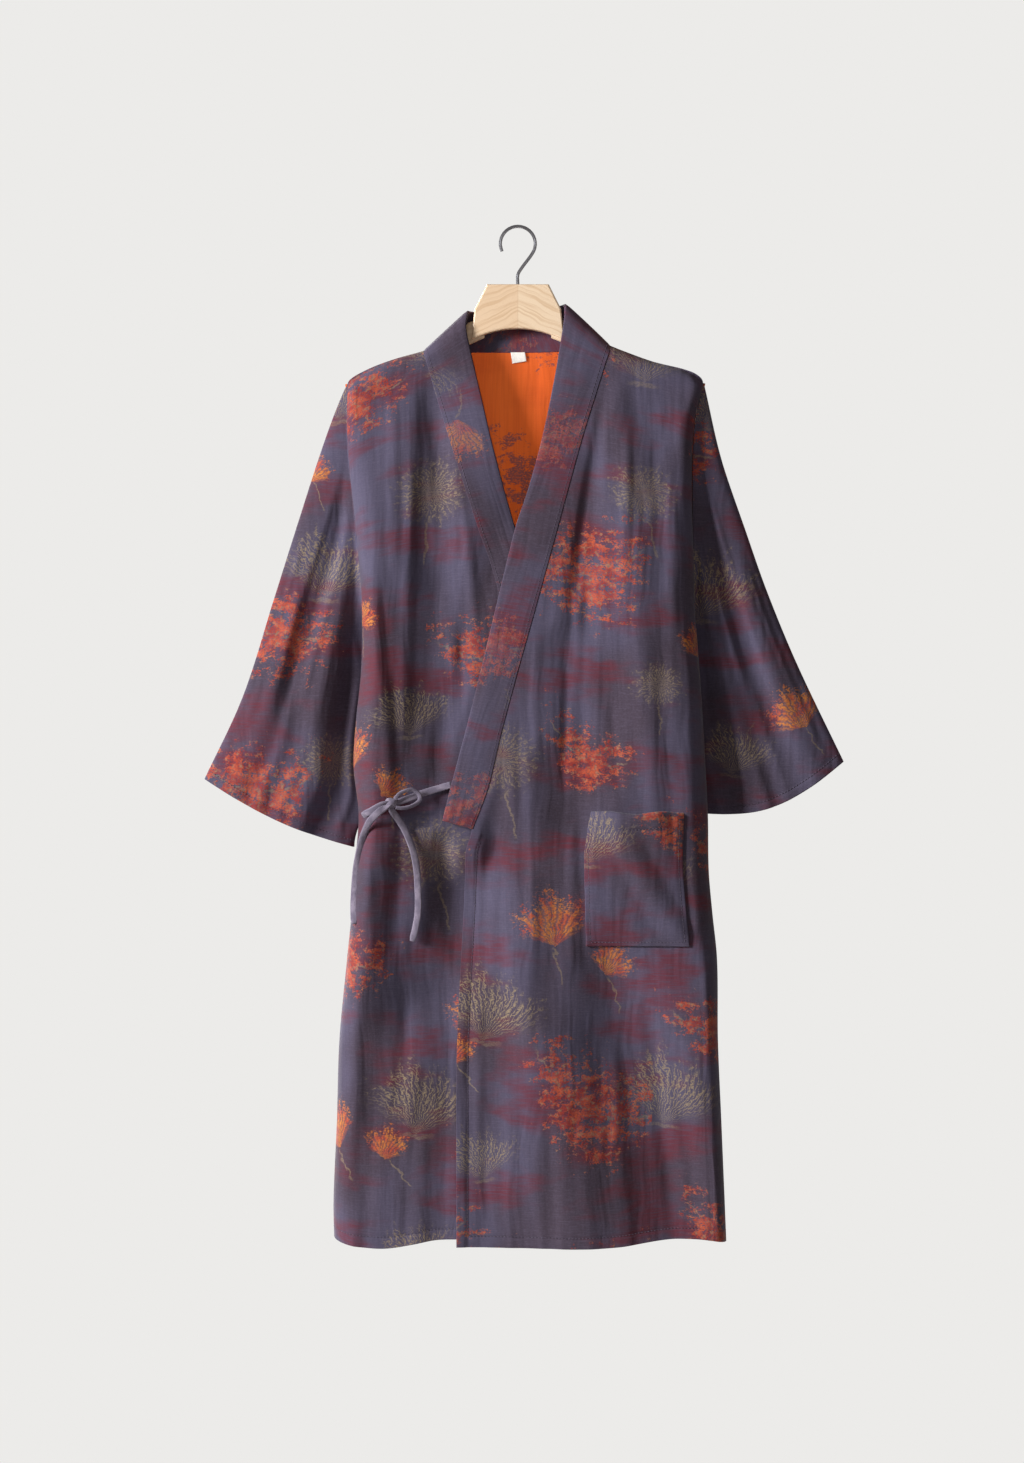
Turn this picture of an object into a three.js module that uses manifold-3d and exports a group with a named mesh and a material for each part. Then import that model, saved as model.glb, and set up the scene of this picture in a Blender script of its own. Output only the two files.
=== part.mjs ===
// A kimono-style robe hanging on a wooden hanger, in millimetres, with Z up and the front facing -Y.
// The origin is the inner top of the hanger's hook, where a rail bears.
// Right and left are the wearer's, so the right side lies at negative X.
import * as THREE from "three";
import Module from "manifold-3d";
import { mergeVertices } from "three/addons/utils/BufferGeometryUtils.js";

const CLOTH = 2; // wall of the fronts, back and sleeves
const BAND = 3; // wall of the folded collar band
const PATCH = 1.6; // wall of the pocket
const SEAM = 0.3; // gap between two pieces that are sewn together
const ARMHOLE_GAP = 0.9; // the same along the armholes, where two curves meet
const UNDERLAP = 7; // how far the under front lies behind the over front
const FRONT = -1;
const BACK = 1;
const RIGHT = -1;
const LEFT = 1;

// The ridge where the cloth passes over the hanger's arms
const RIDGE_DEEP = 11;
const RIDGE_HIGH = 14;
const RIDGE_ROWS = [0, 1.5, 5, 11, 22, 40];
const SPREAD = { [FRONT]: 230, [BACK]: 120 };

// The side rolls, as the width of the quarter ellipse that turns each wall to the side seam.
// They are tight at the shoulder tips and reach their full width a little lower.
const ROLL = { [FRONT]: 26, [BACK]: 60, tip: 12, drop: 110 };

const NECK = { right: { x: -112, z: -147 }, left: { x: 110, z: -141 }, back: -147 };
const HEM = { over: -1215, under: -1210, back: -1206 };
const UNDERARM = -450;
const ARMHOLE_TOP = { [RIGHT]: -187, [LEFT]: -186 };

const POCKET = { left: 79, right: 197, top: -697, bottom: -859, gape: 11 };

// Half widths of the body down its length
const SIDES = [
  { z: -150, right: 202, left: 222 },
  { z: -187, right: 204, left: 222 },
  { z: -232, right: 205, left: 212 },
  { z: -290, right: 202, left: 209 },
  { z: -335, right: 197, left: 209 },
  { z: -397, right: 191, left: 211 },
  { z: -450, right: 187, left: 212 },
  { z: -530, right: 188, left: 218 },
  { z: -590, right: 194, left: 222 },
  { z: -645, right: 197, left: 225 },
  { z: -704, right: 191, left: 228 },
  { z: -770, right: 196, left: 229 },
  { z: -818, right: 199, left: 233 },
  { z: -878, right: 205, left: 239 },
  { z: -974, right: 214, left: 240 },
  { z: -1070, right: 217, left: 244 },
  { z: -1166, right: 221, left: 248 },
  { z: -1216, right: 220, left: 250 },
];

// The shoulder line, from the right tip over the neck to the left tip
const SHOULDERS = [
  { x: -230, z: -205 },
  { x: -204, z: -187 },
  { x: -172, z: -168 },
  { x: -142, z: -156 },
  { x: -112, z: -147 },
  { x: 0, z: -108 },
  { x: 110, z: -141 },
  { x: 122, z: -146 },
  { x: 158, z: -160 },
  { x: 200, z: -172 },
  { x: 222, z: -186 },
  { x: 240, z: -200 },
];

// How far each wall stands from the hanger's plane
const DEPTHS = [
  { z: -150, front: 13, back: 22 },
  { z: -300, front: 20, back: 24 },
  { z: -450, front: 26, back: 25 },
  { z: -700, front: 33, back: 28 },
  { z: -1000, front: 38, back: 32 },
  { z: -1216, front: 42, back: 35 },
];

// The lower edge, which dips and rises with the folds
const HEMLINE = [
  { x: -260, over: 0, under: 2, back: 0 },
  { x: -220, over: 0, under: 2, back: 0 },
  { x: -142, over: 0, under: -8, back: -5 },
  { x: -76, over: -1, under: 2, back: 3 },
  { x: 20, over: -2, under: 0, back: -4 },
  { x: 98, over: -1, under: 0, back: 0 },
  { x: 170, over: 7, under: 0, back: 5 },
  { x: 250, over: 1, under: 0, back: 0 },
  { x: 270, over: 1, under: 0, back: 0 },
];

// The collar over the left front, from its lower end up to the shoulder: seam, folded edge,
// and the least distance that the edge keeps from the hanger's plane
const COLLAR_OVER = [
  { sx: -55, sz: -720, ex: -90, ez: -710, least: 0 },
  { sx: -37, sz: -672, ex: -79, ez: -666, least: 0 },
  { sx: -21, sz: -606, ex: -61, ez: -598, least: 0 },
  { sx: -3, sz: -538, ex: -44, ez: -530, least: 0 },
  { sx: 16, sz: -470, ex: -28, ez: -463, least: 0 },
  { sx: 34, sz: -405, ex: -12, ez: -396, least: 0 },
  { sx: 45, sz: -365, ex: -2, ez: -357, least: 0 },
  { sx: 58, sz: -317, ex: 13, ez: -312, least: 0 },
  { sx: 76, sz: -252, ex: 30, ez: -248, least: 0 },
  { sx: 96, sz: -187, ex: 45, ez: -175, least: 11.5 },
  { sx: 104, sz: -161, ex: 51, ez: -138, least: 11.5 },
  { sx: 108, sz: -149, ex: 55, ez: -112, least: 11.5 },
  { sx: 109.4, sz: -143.4, ex: 56.5, ez: -97, least: 6 },
  { sx: 110, sz: -141, ex: 57, ez: -91, least: 0 },
];

// The collar round the back of the neck, with its folded edge standing up
const COLLAR_BACK = [
  { sx: 110, ex: 57, ey: 0, ez: -91 },
  { sx: 104, ex: 55, ey: 6, ez: -91 },
  { sx: 92, ex: 50, ey: 11, ez: -92 },
  { sx: 60, ex: 33, ey: 15, ez: -94 },
  { sx: 0, ex: 0, ey: 17, ez: -96 },
  { sx: -60, ex: -34, ey: 15, ez: -98 },
  { sx: -92, ex: -52, ey: 11, ez: -99 },
  { sx: -106, ex: -58, ey: 6, ez: -99 },
  { sx: -112, ex: -60, ey: 0, ez: -99 },
];

// The collar of the under front, from the shoulder down beneath the over front to its lower end
const COLLAR_UNDER = [
  { sx: -112, sz: -147, ex: -60, ez: -99, least: 0 },
  { sx: -111.4, sz: -149.4, ex: -61, ez: -105, least: 6 },
  { sx: -110, sz: -155, ex: -62, ez: -118, least: 11.5 },
  { sx: -106, sz: -168, ex: -58, ez: -141, least: 11.5 },
  { sx: -93, sz: -213, ex: -44, ez: -202, least: 11.5 },
  { sx: -74, sz: -275, ex: -29, ez: -266, least: 0 },
  { sx: -46, sz: -362, ex: -5, ez: -354, least: 0 },
  { sx: -31, sz: -404, ex: 10, ez: -396, least: 0 },
  { sx: 5, sz: -538, ex: 46, ez: -530, least: 0 },
  { sx: 40, sz: -672, ex: 82, ez: -664, least: 0 },
  { sx: 60, sz: -715, ex: 96, ez: -706, least: 0 },
];
const COLLAR_END = { over: COLLAR_OVER[0].sz, under: COLLAR_UNDER.at(-1).sz };
const FRONT_EDGE = { over: -73, under: 62 }; // X of each front's free edge at the hem

// Each fold runs from x1, z1 down to x2, z2, is w1 wide at the top and w2 at the foot,
// and is a ridge where it is more than 0 deep and a trough where it is less.
const FRONT_FOLDS = [
  { x1: -110, z1: -170, x2: -120, z2: -700, w1: 22, w2: 58, deep: -14 },
  { x1: -94, z1: -200, x2: -52, z2: -640, w1: 18, w2: 26, deep: 8 },
  { x1: -176, z1: -215, x2: -170, z2: -690, w1: 24, w2: 30, deep: 5 },
  { x1: -142, z1: -930, x2: -218, z2: -1300, w1: 42, w2: 58, deep: 10 },
  { x1: -88, z1: -700, x2: -98, z2: -960, w1: 34, w2: 44, deep: -8 },
  { x1: -176, z1: -712, x2: -112, z2: -1010, w1: 20, w2: 40, deep: -7 },
  { x1: -150, z1: -715, x2: -60, z2: -1020, w1: 16, w2: 36, deep: 6 },
  { x1: -96, z1: -1000, x2: -104, z2: -1330, w1: 40, w2: 52, deep: -9 },
  { x1: 100, z1: -165, x2: 58, z2: -500, w1: 16, w2: 30, deep: -11 },
  { x1: 116, z1: -175, x2: 96, z2: -590, w1: 15, w2: 26, deep: 7 },
  { x1: 148, z1: -215, x2: 140, z2: -720, w1: 40, w2: 48, deep: 5 },
  { x1: 36, z1: -400, x2: 46, z2: -650, w1: 18, w2: 24, deep: 7 },
  { x1: 196, z1: -225, x2: 204, z2: -700, w1: 22, w2: 26, deep: -6 },
  { x1: -12, z1: -640, x2: -8, z2: -980, w1: 20, w2: 34, deep: 7 },
  { x1: 44, z1: -620, x2: 34, z2: -960, w1: 28, w2: 40, deep: -10 },
  { x1: 96, z1: -850, x2: 196, z2: -1330, w1: 46, w2: 66, deep: -15 },
  { x1: 218, z1: -850, x2: 236, z2: -1300, w1: 30, w2: 36, deep: 6 },
  { x1: 24, z1: -920, x2: 84, z2: -1330, w1: 48, w2: 66, deep: 10 },
  { x1: -36, z1: -960, x2: -30, z2: -1330, w1: 34, w2: 46, deep: -7 },
];
const BACK_FOLDS = [
  { x1: -60, z1: -190, x2: -96, z2: -760, w1: 26, w2: 52, deep: -9 },
  { x1: 66, z1: -190, x2: 110, z2: -820, w1: 24, w2: 56, deep: -10 },
  { x1: 4, z1: -230, x2: -10, z2: -900, w1: 34, w2: 46, deep: 7 },
  { x1: -130, z1: -260, x2: -140, z2: -700, w1: 30, w2: 36, deep: 5 },
  { x1: 150, z1: -240, x2: 156, z2: -680, w1: 28, w2: 40, deep: 6 },
  { x1: 60, z1: -760, x2: 46, z2: -1330, w1: 44, w2: 62, deep: 10 },
  { x1: -52, z1: -820, x2: -70, z2: -1330, w1: 40, w2: 60, deep: 9 },
  { x1: 0, z1: -900, x2: -8, z2: -1330, w1: 36, w2: 50, deep: -9 },
  { x1: 130, z1: -860, x2: 158, z2: -1330, w1: 40, w2: 60, deep: -11 },
  { x1: -136, z1: -700, x2: -150, z2: -1330, w1: 34, w2: 56, deep: -10 },
];

// Each sleeve's outer fold from the shoulder tip to the cuff
const SLEEVES = {
  [RIGHT]: {
    fold: [
      { v: 0, x: 204, z: -187 },
      { v: 0.08, x: 226, z: -232 },
      { v: 0.18, x: 242, z: -282 },
      { v: 0.41, x: 276, z: -389 },
      { v: 0.525, x: 293, z: -443 },
      { v: 0.78, x: 331, z: -562 },
      { v: 1, x: 377, z: -661 },
    ],
    cuff: { x: 197, z: -743, sag: 10 },
    folds: [
      { s1: 0.42, v1: 0.02, s2: 0.3, v2: 0.8, w1: 0.14, w2: 0.12, deep: -6 },
      { s1: 0.62, v1: 0.05, s2: 0.55, v2: 1.3, w1: 0.14, w2: 0.16, deep: 5 },
      { s1: 0.8, v1: 0.3, s2: 0.74, v2: 1.4, w1: 0.12, w2: 0.14, deep: -5 },
      { s1: 0.2, v1: 0.35, s2: 0.16, v2: 1.3, w1: 0.1, w2: 0.14, deep: 4 },
    ],
  },
  [LEFT]: {
    fold: [
      { v: 0, x: 222, z: -186 },
      { v: 0.03, x: 229, z: -204 },
      { v: 0.17, x: 243, z: -270 },
      { v: 0.386, x: 276, z: -368 },
      { v: 0.535, x: 300, z: -436 },
      { v: 0.73, x: 336, z: -523 },
      { v: 1, x: 392, z: -640 },
    ],
    cuff: { x: 227, z: -703, sag: 22 },
    folds: [
      { s1: 0.4, v1: 0.03, s2: 0.34, v2: 0.9, w1: 0.14, w2: 0.12, deep: -6 },
      { s1: 0.66, v1: 0.05, s2: 0.6, v2: 1.2, w1: 0.13, w2: 0.15, deep: 5 },
      { s1: 0.84, v1: 0.25, s2: 0.8, v2: 1.3, w1: 0.1, w2: 0.13, deep: -4 },
      { s1: 0.18, v1: 0.3, s2: 0.2, v2: 1.4, w1: 0.12, w2: 0.14, deep: 5 },
    ],
  },
};
const SLEEVE_SIZES = { flare: 0.2, tuck: 8, foldY: 8, innerY: 25, half: 15, armholeTurn: 0.55 };
const SLEEVE_ROWS = 15;
const SLEEVE_COLUMNS = 22;

// The ties are flat bands, and each route starts where the band leaves its piece.
// Points are x and z, with the distance that the band stands ahead of the front.
const TIE = { wide: 8.4, thick: 2.8, steps: 16 };
const LOOP = { wide: 5, thick: 2.4, steps: 16 };
const KNOT = { x: -151, z: -689, ahead: 6, wide: 15, high: 13, deep: 9 };
const TIES = {
  tie_collar: [[-81.7, -668, 5.5], [-95, -672, 5], [-112, -677, 5], [-128, -683, 5.5], [-143.1, -688, 6]],
  tie_side: [[-189.6, -704, 0.6], [-183, -701, 4.5], [-175, -698, 5], [-167, -694, 5.5], [-158.9, -690, 6]],
  tie_loop: [
    [-145.8, -684.1, 9.3], [-139, -677, 10], [-127, -673, 10], [-118, -678, 10], [-117, -686, 10],
    [-125, -692, 10], [-136, -695, 10], [-145.1, -694, 9.3],
  ],
  tie_end_front: [
    [-150.2, -696.9, 6], [-143, -707, 6], [-136, -718, 6], [-129, -733, 5], [-123, -752, 5],
    [-120, -772, 5], [-119, -795, 5], [-119, -818, 5], [-122, -838, 5], [-126, -854, 6],
  ],
  tie_end_side: [
    [-157.4, -694.2, 9], [-167, -701, 11], [-178, -711, 10], [-187, -725, 8], [-195, -743, 6],
    [-202, -765, 5], [-206, -788, 5], [-207, -812, 5], [-203, -833, 5],
  ],
};

// The wooden hanger: a plate in the middle and an oval arm to each side. Heights are those of its upper edge,
// and an arm without one follows the shoulder's ridge.
const HANGER = {
  top: -68,
  thick: 12,
  bevel: 2,
  corner: { flat: 37, x: 52, z: -98 },
  foot: { x: 56, z: -135 },
  arch: -107,
  ridgeRoom: 0.8,
  armWide: 12,
  armColumns: 14,
};
const HANGER_ARMS = {
  [RIGHT]: [
    { x: 40, top: -106, high: 26, wide: 9 },
    { x: 60, top: -114, high: 27, wide: 10 },
    { x: 84, top: -138, high: 25, wide: 11 },
    { x: 108, top: -153, high: 24 },
    { x: 130, high: 24 },
    { x: 156, high: 22 },
    { x: 176, high: 20, wide: 11 },
    { x: 186, high: 15, wide: 9 },
    { x: 191, high: 8, wide: 6 },
  ],
  [LEFT]: [
    { x: 40, top: -106, high: 26, wide: 9 },
    { x: 60, top: -113, high: 27, wide: 10 },
    { x: 84, top: -133, high: 25, wide: 11 },
    { x: 110, top: -149, high: 24 },
    { x: 134, high: 24 },
    { x: 162, high: 22 },
    { x: 188, high: 20, wide: 11 },
    { x: 201, high: 15, wide: 9 },
    { x: 207, high: 8, wide: 6 },
  ],
};
const HOOK = { wire: 4, radius: 21, stem: 12 };

const wasm = await Module();
wasm.setup();

const clamp = (value, low, high) => Math.min(high, Math.max(low, value));
const mix = (a, b, t) => a + (b - a) * t;

// Rises smoothly from 0 to 1 as t does.
function ease(t) {
  const k = clamp(t, 0, 1);
  return k * k * (3 - 2 * k);
}

// Reads one column of a table at a place along its key column, on a smooth curve through the rows.
function read(table, key, column, place) {
  const rising = table.at(-1)[key] > table[0][key];
  const rows = rising ? table : [...table].reverse();
  const at = clamp(place, rows[0][key], rows.at(-1)[key]);
  const last = rows.length - 1;
  let i = 0;
  while (i < last - 1 && rows[i + 1][key] < at) i += 1;
  const slope = (n) => {
    const a = rows[Math.max(n - 1, 0)];
    const b = rows[Math.min(n + 1, last)];
    return (b[column] - a[column]) / (b[key] - a[key]);
  };
  const [p, q] = [rows[i], rows[i + 1]];
  const span = q[key] - p[key];
  const t = (at - p[key]) / span;
  return (
    (2 * t ** 3 - 3 * t ** 2 + 1) * p[column] +
    (t ** 3 - 2 * t ** 2 + t) * span * slope(i) +
    (3 * t ** 2 - 2 * t ** 3) * q[column] +
    (t ** 3 - t ** 2) * span * slope(i + 1)
  );
}

// Even steps from one place to another, without the first.
function steps(from, to, count) {
  return Array.from({ length: count }, (_, i) => mix(from, to, (i + 1) / count));
}

const ridge = (x) => read(SHOULDERS, "x", "z", x);
const halfWidth = (side, z) => read(SIDES, "z", side === RIGHT ? "right" : "left", z);

// How far a smooth wall stands from the hanger's plane: it rounds over the ridge and then spreads.
function depth(face, x, z) {
  const below = Math.max(0, ridge(x) - z);
  const round = Math.sqrt(1 - (1 - Math.min(below / RIDGE_HIGH, 1)) ** 2);
  const full = read(DEPTHS, "z", face === FRONT ? "front" : "back", z);
  return RIDGE_DEEP * round + (full - RIDGE_DEEP) * ease(below / SPREAD[face]);
}

// A smooth bump that is 1 in the middle of a fold and 0 past its width.
const bump = (offset, width) => Math.max(0, 1 - (offset / width) ** 2) ** 2;

// The sum of the folds that cross a place.
function foldsAt(table, x, z) {
  let sum = 0;
  for (const fold of table) {
    const t = (fold.z1 - z) / (fold.z1 - fold.z2);
    if (t <= 0 || t >= 1) continue;
    const ends = ease(t / 0.2) * ease((1 - t) / 0.2);
    sum += fold.deep * ends * bump(x - mix(fold.x1, fold.x2, t), mix(fold.w1, fold.w2, t));
  }
  return sum;
}

// The over layer's leading edge and the seam behind it, at a height.
const overEdge = (z) =>
  z > COLLAR_END.over ? read(COLLAR_OVER, "ez", "ex", z) : mix(-62, FRONT_EDGE.over, ease((-720 - z) / 300));
const overSeam = (z) => read(COLLAR_OVER, "sz", "sx", z);

// Folds die out beneath the flat collar, so that the layers stay nested.
function calm(x, z) {
  const off = Math.max(overEdge(z) - x, x - overSeam(z), 0);
  return mix(ease((off - 6) / 26), 1, ease((COLLAR_END.over - 20 - z) / 60));
}

// How far the under layer sinks where the over layer covers it.
const sink = (x, z) => UNDERLAP * ease((x - overEdge(z) + 55) / 45);

// The side roll at a height: where the flat of the wall ends, and the cloth's length round the roll.
function sideRoll(face, side, z) {
  const full = read(DEPTHS, "z", face === FRONT ? "front" : "back", z);
  const roll = mix(ROLL.tip, ROLL[face], ease((ARMHOLE_TOP[side] - z) / ROLL.drop));
  const flat = halfWidth(side, z) - roll;
  const arc = (Math.PI / 2) * Math.sqrt((roll ** 2 + full ** 2) / 2);
  return { flat, arc, roll };
}

// A point of the body's outer skin, across the cloth by a from the middle and at height z.
function bodyPoint(face, a, z, lay = 0) {
  const side = a < 0 ? RIGHT : LEFT;
  const { flat, arc, roll } = sideRoll(face, side, z);
  const turn = clamp((Math.abs(a) - flat) / arc, 0, 1) * (Math.PI / 2);
  const x = side * (Math.min(Math.abs(a), flat) + roll * Math.sin(turn));
  const near = ease((ridge(x) - z) / 60);
  const folds = face === FRONT ? foldsAt(FRONT_FOLDS, x, z) * calm(x, z) : foldsAt(BACK_FOLDS, x, z);
  const out = (depth(face, x, z) + folds * near - lay) * Math.cos(turn);
  return new THREE.Vector3(x, face * Math.max(out, SEAM / 2), z);
}

// The cloth's length across the body from the middle to its edge: the side seam or the armhole.
function reach(face, side, z) {
  const { flat, arc } = sideRoll(face, side, z);
  if (face === FRONT || z <= UNDERARM) return flat + arc;
  const t = clamp((ARMHOLE_TOP[side] - z) / (ARMHOLE_TOP[side] - UNDERARM), 0, 1);
  return flat + arc * (1 - SLEEVE_SIZES.armholeTurn * Math.sin(Math.PI * t) ** 0.45);
}

// Closes a grid of outer points into a wall: an outer skin, an inner skin and the rims between them.
// The grid's inside is on the side given by inward, and settle may correct an inner point.
function wall(grid, thickness, inward, { ring = false, settle = (p) => p } = {}) {
  const rows = grid.length;
  const columns = grid[0].length;
  const column = (c) => (ring ? (c + columns) % columns : clamp(c, 0, columns - 1));
  const at = (r, c) => grid[clamp(r, 0, rows - 1)][column(c)];
  const inner = grid.map((row, r) =>
    row.map((p, c) => {
      const along = at(r + 1, c).clone().sub(at(r - 1, c));
      const across = at(r, c + 1).clone().sub(at(r, c - 1));
      const normal = across.cross(along).normalize();
      return settle(p.clone().addScaledVector(normal, inward * thickness), p, r, c);
    }),
  );
  const points = [...grid.flat(), ...inner.flat()];
  const out = (r, c) => r * columns + column(c);
  const back = (r, c) => rows * columns + out(r, c);
  const index = [];
  const quad = (a, b, c, d) => index.push(a, b, c, a, c, d);
  for (let c = 0; c < (ring ? columns : columns - 1); c += 1) {
    for (let r = 0; r < rows - 1; r += 1) {
      quad(out(r, c), out(r + 1, c), out(r + 1, c + 1), out(r, c + 1));
      quad(back(r, c), back(r, c + 1), back(r + 1, c + 1), back(r + 1, c));
    }
    quad(out(0, c), out(0, c + 1), back(0, c + 1), back(0, c));
    quad(out(rows - 1, c + 1), out(rows - 1, c), back(rows - 1, c), back(rows - 1, c + 1));
  }
  for (let r = 0; r < rows - 1 && !ring; r += 1) {
    quad(out(r + 1, 0), out(r, 0), back(r, 0), back(r + 1, 0));
    quad(out(r, columns - 1), out(r + 1, columns - 1), back(r + 1, columns - 1), back(r, columns - 1));
  }
  return closed(points, index);
}

// A geometry from points and triangles, turned so that its faces point out.
function closed(points, index) {
  let volume = 0;
  for (let i = 0; i < index.length; i += 3) {
    const [a, b, c] = [points[index[i]], points[index[i + 1]], points[index[i + 2]]];
    volume += a.dot(b.clone().cross(c));
  }
  if (volume < 0) index.reverse();
  const geometry = new THREE.BufferGeometry();
  geometry.setAttribute("position", new THREE.Float32BufferAttribute(points.flatMap((p) => [p.x, p.y, p.z]), 3));
  geometry.setIndex(index);
  geometry.computeVertexNormals();
  return geometry;
}

// Keeps a wall's inner skin on its own side of the seam plane.
const ownSide = (face) => (p) => {
  p.y = face * Math.max(face * p.y, SEAM / 2);
  return p;
};

// Rows of a front, as heights along its inner edge from the neck to the hem.
function frontRows(neck, stops) {
  const rows = RIDGE_ROWS.map((drop) => neck - drop);
  for (const { z, count } of stops) rows.push(...steps(rows.at(-1), z, count));
  return rows;
}

// Columns of a front, as shares of the cloth from its inner edge to the side seam.
function shares(stops) {
  const columns = [0];
  for (const { u, count } of stops) columns.push(...steps(columns.at(-1), u, count));
  return columns;
}

// The outer points of one front. Its inner edge is the collar's seam and then the free edge.
function frontGrid({ side, neck, hem, column, rows, columns, innerX, lay }) {
  const tip = halfWidth(side, ARMHOLE_TOP[side]) * side;
  return rows.map((zInner) => {
    const v = (neck.z - zInner) / (neck.z - hem);
    return columns.map((u) => {
      const shoulder = ridge(mix(neck.x, tip, u)) - neck.z;
      const xHem = mix(FRONT_EDGE[column], side * halfWidth(side, hem), u);
      const wave = read(HEMLINE, "x", column, xHem);
      const z = zInner + shoulder * (1 - v) ** 3 + wave * v ** 8;
      const a = mix(innerX(zInner), side * reach(FRONT, side, z), u);
      return bodyPoint(FRONT, a, z, lay ? sink(a, z) : 0);
    });
  });
}

const overRows = frontRows(NECK.left.z, [
  { z: POCKET.top, count: 15 },
  { z: COLLAR_END.over, count: 1 },
  { z: POCKET.bottom, count: 4 },
  { z: HEM.over, count: 10 },
]);
const pocketMiddle = (POCKET.top + POCKET.bottom) / 2;
const overX = (z) => (z >= COLLAR_END.over ? overSeam(z) : overEdge(z));
const pocketShare = (x) => (x - overX(pocketMiddle)) / (reach(FRONT, LEFT, pocketMiddle) - overX(pocketMiddle));
const overColumns = shares([
  { u: pocketShare(POCKET.left), count: 6 },
  { u: pocketShare(POCKET.right), count: 5 },
  { u: 1, count: 5 },
]);
const overGrid = frontGrid({
  side: LEFT,
  neck: NECK.left,
  hem: HEM.over,
  column: "over",
  rows: overRows,
  columns: overColumns,
  innerX: overX,
  lay: false,
});

const underRows = frontRows(NECK.right.z, [
  { z: COLLAR_END.under, count: 16 },
  { z: HEM.under, count: 14 },
]);
const underSeam = (z) => read(COLLAR_UNDER, "sz", "sx", z);
const underX = (z) =>
  z >= COLLAR_END.under ? underSeam(z) : mix(underSeam(z), FRONT_EDGE.under, ease((COLLAR_END.under - z) / 300));
const underGrid = frontGrid({
  side: RIGHT,
  neck: NECK.right,
  hem: HEM.under,
  column: "under",
  rows: underRows,
  columns: shares([
    { u: 0.82, count: 12 },
    { u: 1, count: 5 },
  ]),
  innerX: underX,
  lay: true,
});

// The back's upper edge: the shoulder line outside the neck, and the neck seam between.
function backTop(x) {
  if (x <= NECK.right.x || x >= NECK.left.x) return ridge(x);
  const side = x < 0 ? NECK.right : NECK.left;
  return mix(NECK.back, side.z, (x / side.x) ** 2);
}

// Columns of the back, from side to side, with a line at each end of the neck.
const backColumns = [
  -1,
  ...steps(-1, -0.86, 4),
  ...steps(-0.86, NECK.right.x / 204, 4),
  ...steps(NECK.right.x / 204, NECK.left.x / 222, 10),
  ...steps(NECK.left.x / 222, 0.86, 4),
  ...steps(0.86, 1, 4),
];
const backRows = [
  ...RIDGE_ROWS,
  ...steps(40, 240, 6),
  ...steps(240, 300, 5),
  ...steps(300, NECK.back - HEM.back, 20),
];
const backGrid = backRows.map((drop) => {
  const v = drop / (NECK.back - HEM.back);
  return backColumns.map((n) => {
    const side = n < 0 ? RIGHT : LEFT;
    const xTop = Math.abs(n) * halfWidth(side, ARMHOLE_TOP[side]) * side;
    const zInner = NECK.back - drop;
    const wave = read(HEMLINE, "x", "back", xTop);
    const z = zInner + (backTop(xTop) - NECK.back) * (1 - v) ** 3 + wave * v ** 8;
    const a = drop === 0 ? xTop : mix(xTop, Math.abs(n) * side * reach(BACK, side, z), ease(drop / 40));
    return bodyPoint(BACK, Math.abs(n) === 1 ? side * reach(BACK, side, z) : a, z);
  });
});

// The collar's stations: seam points taken from the pieces that it is sewn to, each with its folded edge.
function collarStations() {
  const stations = [];
  const edge = (table, key, place, y) =>
    new THREE.Vector3(read(table, key, "ex", place), y, read(table, key, "ez", place));
  const frontEdge = (table, z, lay) => {
    const [x, ez] = [read(table, "sz", "ex", z), read(table, "sz", "ez", z)];
    const out = Math.max(depth(FRONT, x, ez), read(table, "sz", "least", z));
    return edge(table, "sz", z, (lay ? sink(x, ez) : 0) - out);
  };
  overRows.forEach((z, r) => {
    if (z >= COLLAR_END.over) stations.unshift({ seam: overGrid[r][0], edge: frontEdge(COLLAR_OVER, z, false) });
  });
  const neck = backGrid[0].filter((p) => p.x > NECK.right.x + 1 && p.x < NECK.left.x - 1).reverse();
  for (const seam of neck)
    stations.push({ seam, edge: edge(COLLAR_BACK, "sx", seam.x, read(COLLAR_BACK, "sx", "ey", seam.x)) });
  underRows.forEach((z, r) => {
    if (z >= COLLAR_END.under) stations.push({ seam: underGrid[r][0], edge: frontEdge(COLLAR_UNDER, z, true) });
  });
  return stations;
}

// The collar band, ruled from its seam to its folded edge and a little fuller between them.
function collar() {
  const across = [0.9 / 44, 0.33, 0.68, 1];
  const grid = collarStations().map(({ seam, edge }) => across.map((t) => seam.clone().lerp(edge, t)));
  return wall(grid, BAND, 1);
}

// A point of the back's armhole edge at a height, on the straight lines between its rows.
function backEdge(side, z) {
  const edge = backGrid.map((row) => (side === RIGHT ? row[0] : row.at(-1)));
  const i = clamp(edge.findIndex((p) => p.z <= z), 1, edge.length - 1);
  const [a, b] = [edge[i - 1], edge[i]];
  return a.clone().lerp(b, clamp((a.z - z) / (a.z - b.z), 0, 1));
}

// Moves a sleeve's point out past the side of the front, where it would touch it.
function besideBody(side, p) {
  const edge = halfWidth(side, p.z) + ARMHOLE_GAP + (p.y < 0 ? 0.5 : 0);
  if (p.y < CLOTH && side * p.x < edge) p.x = side * edge;
  return p;
}

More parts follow.
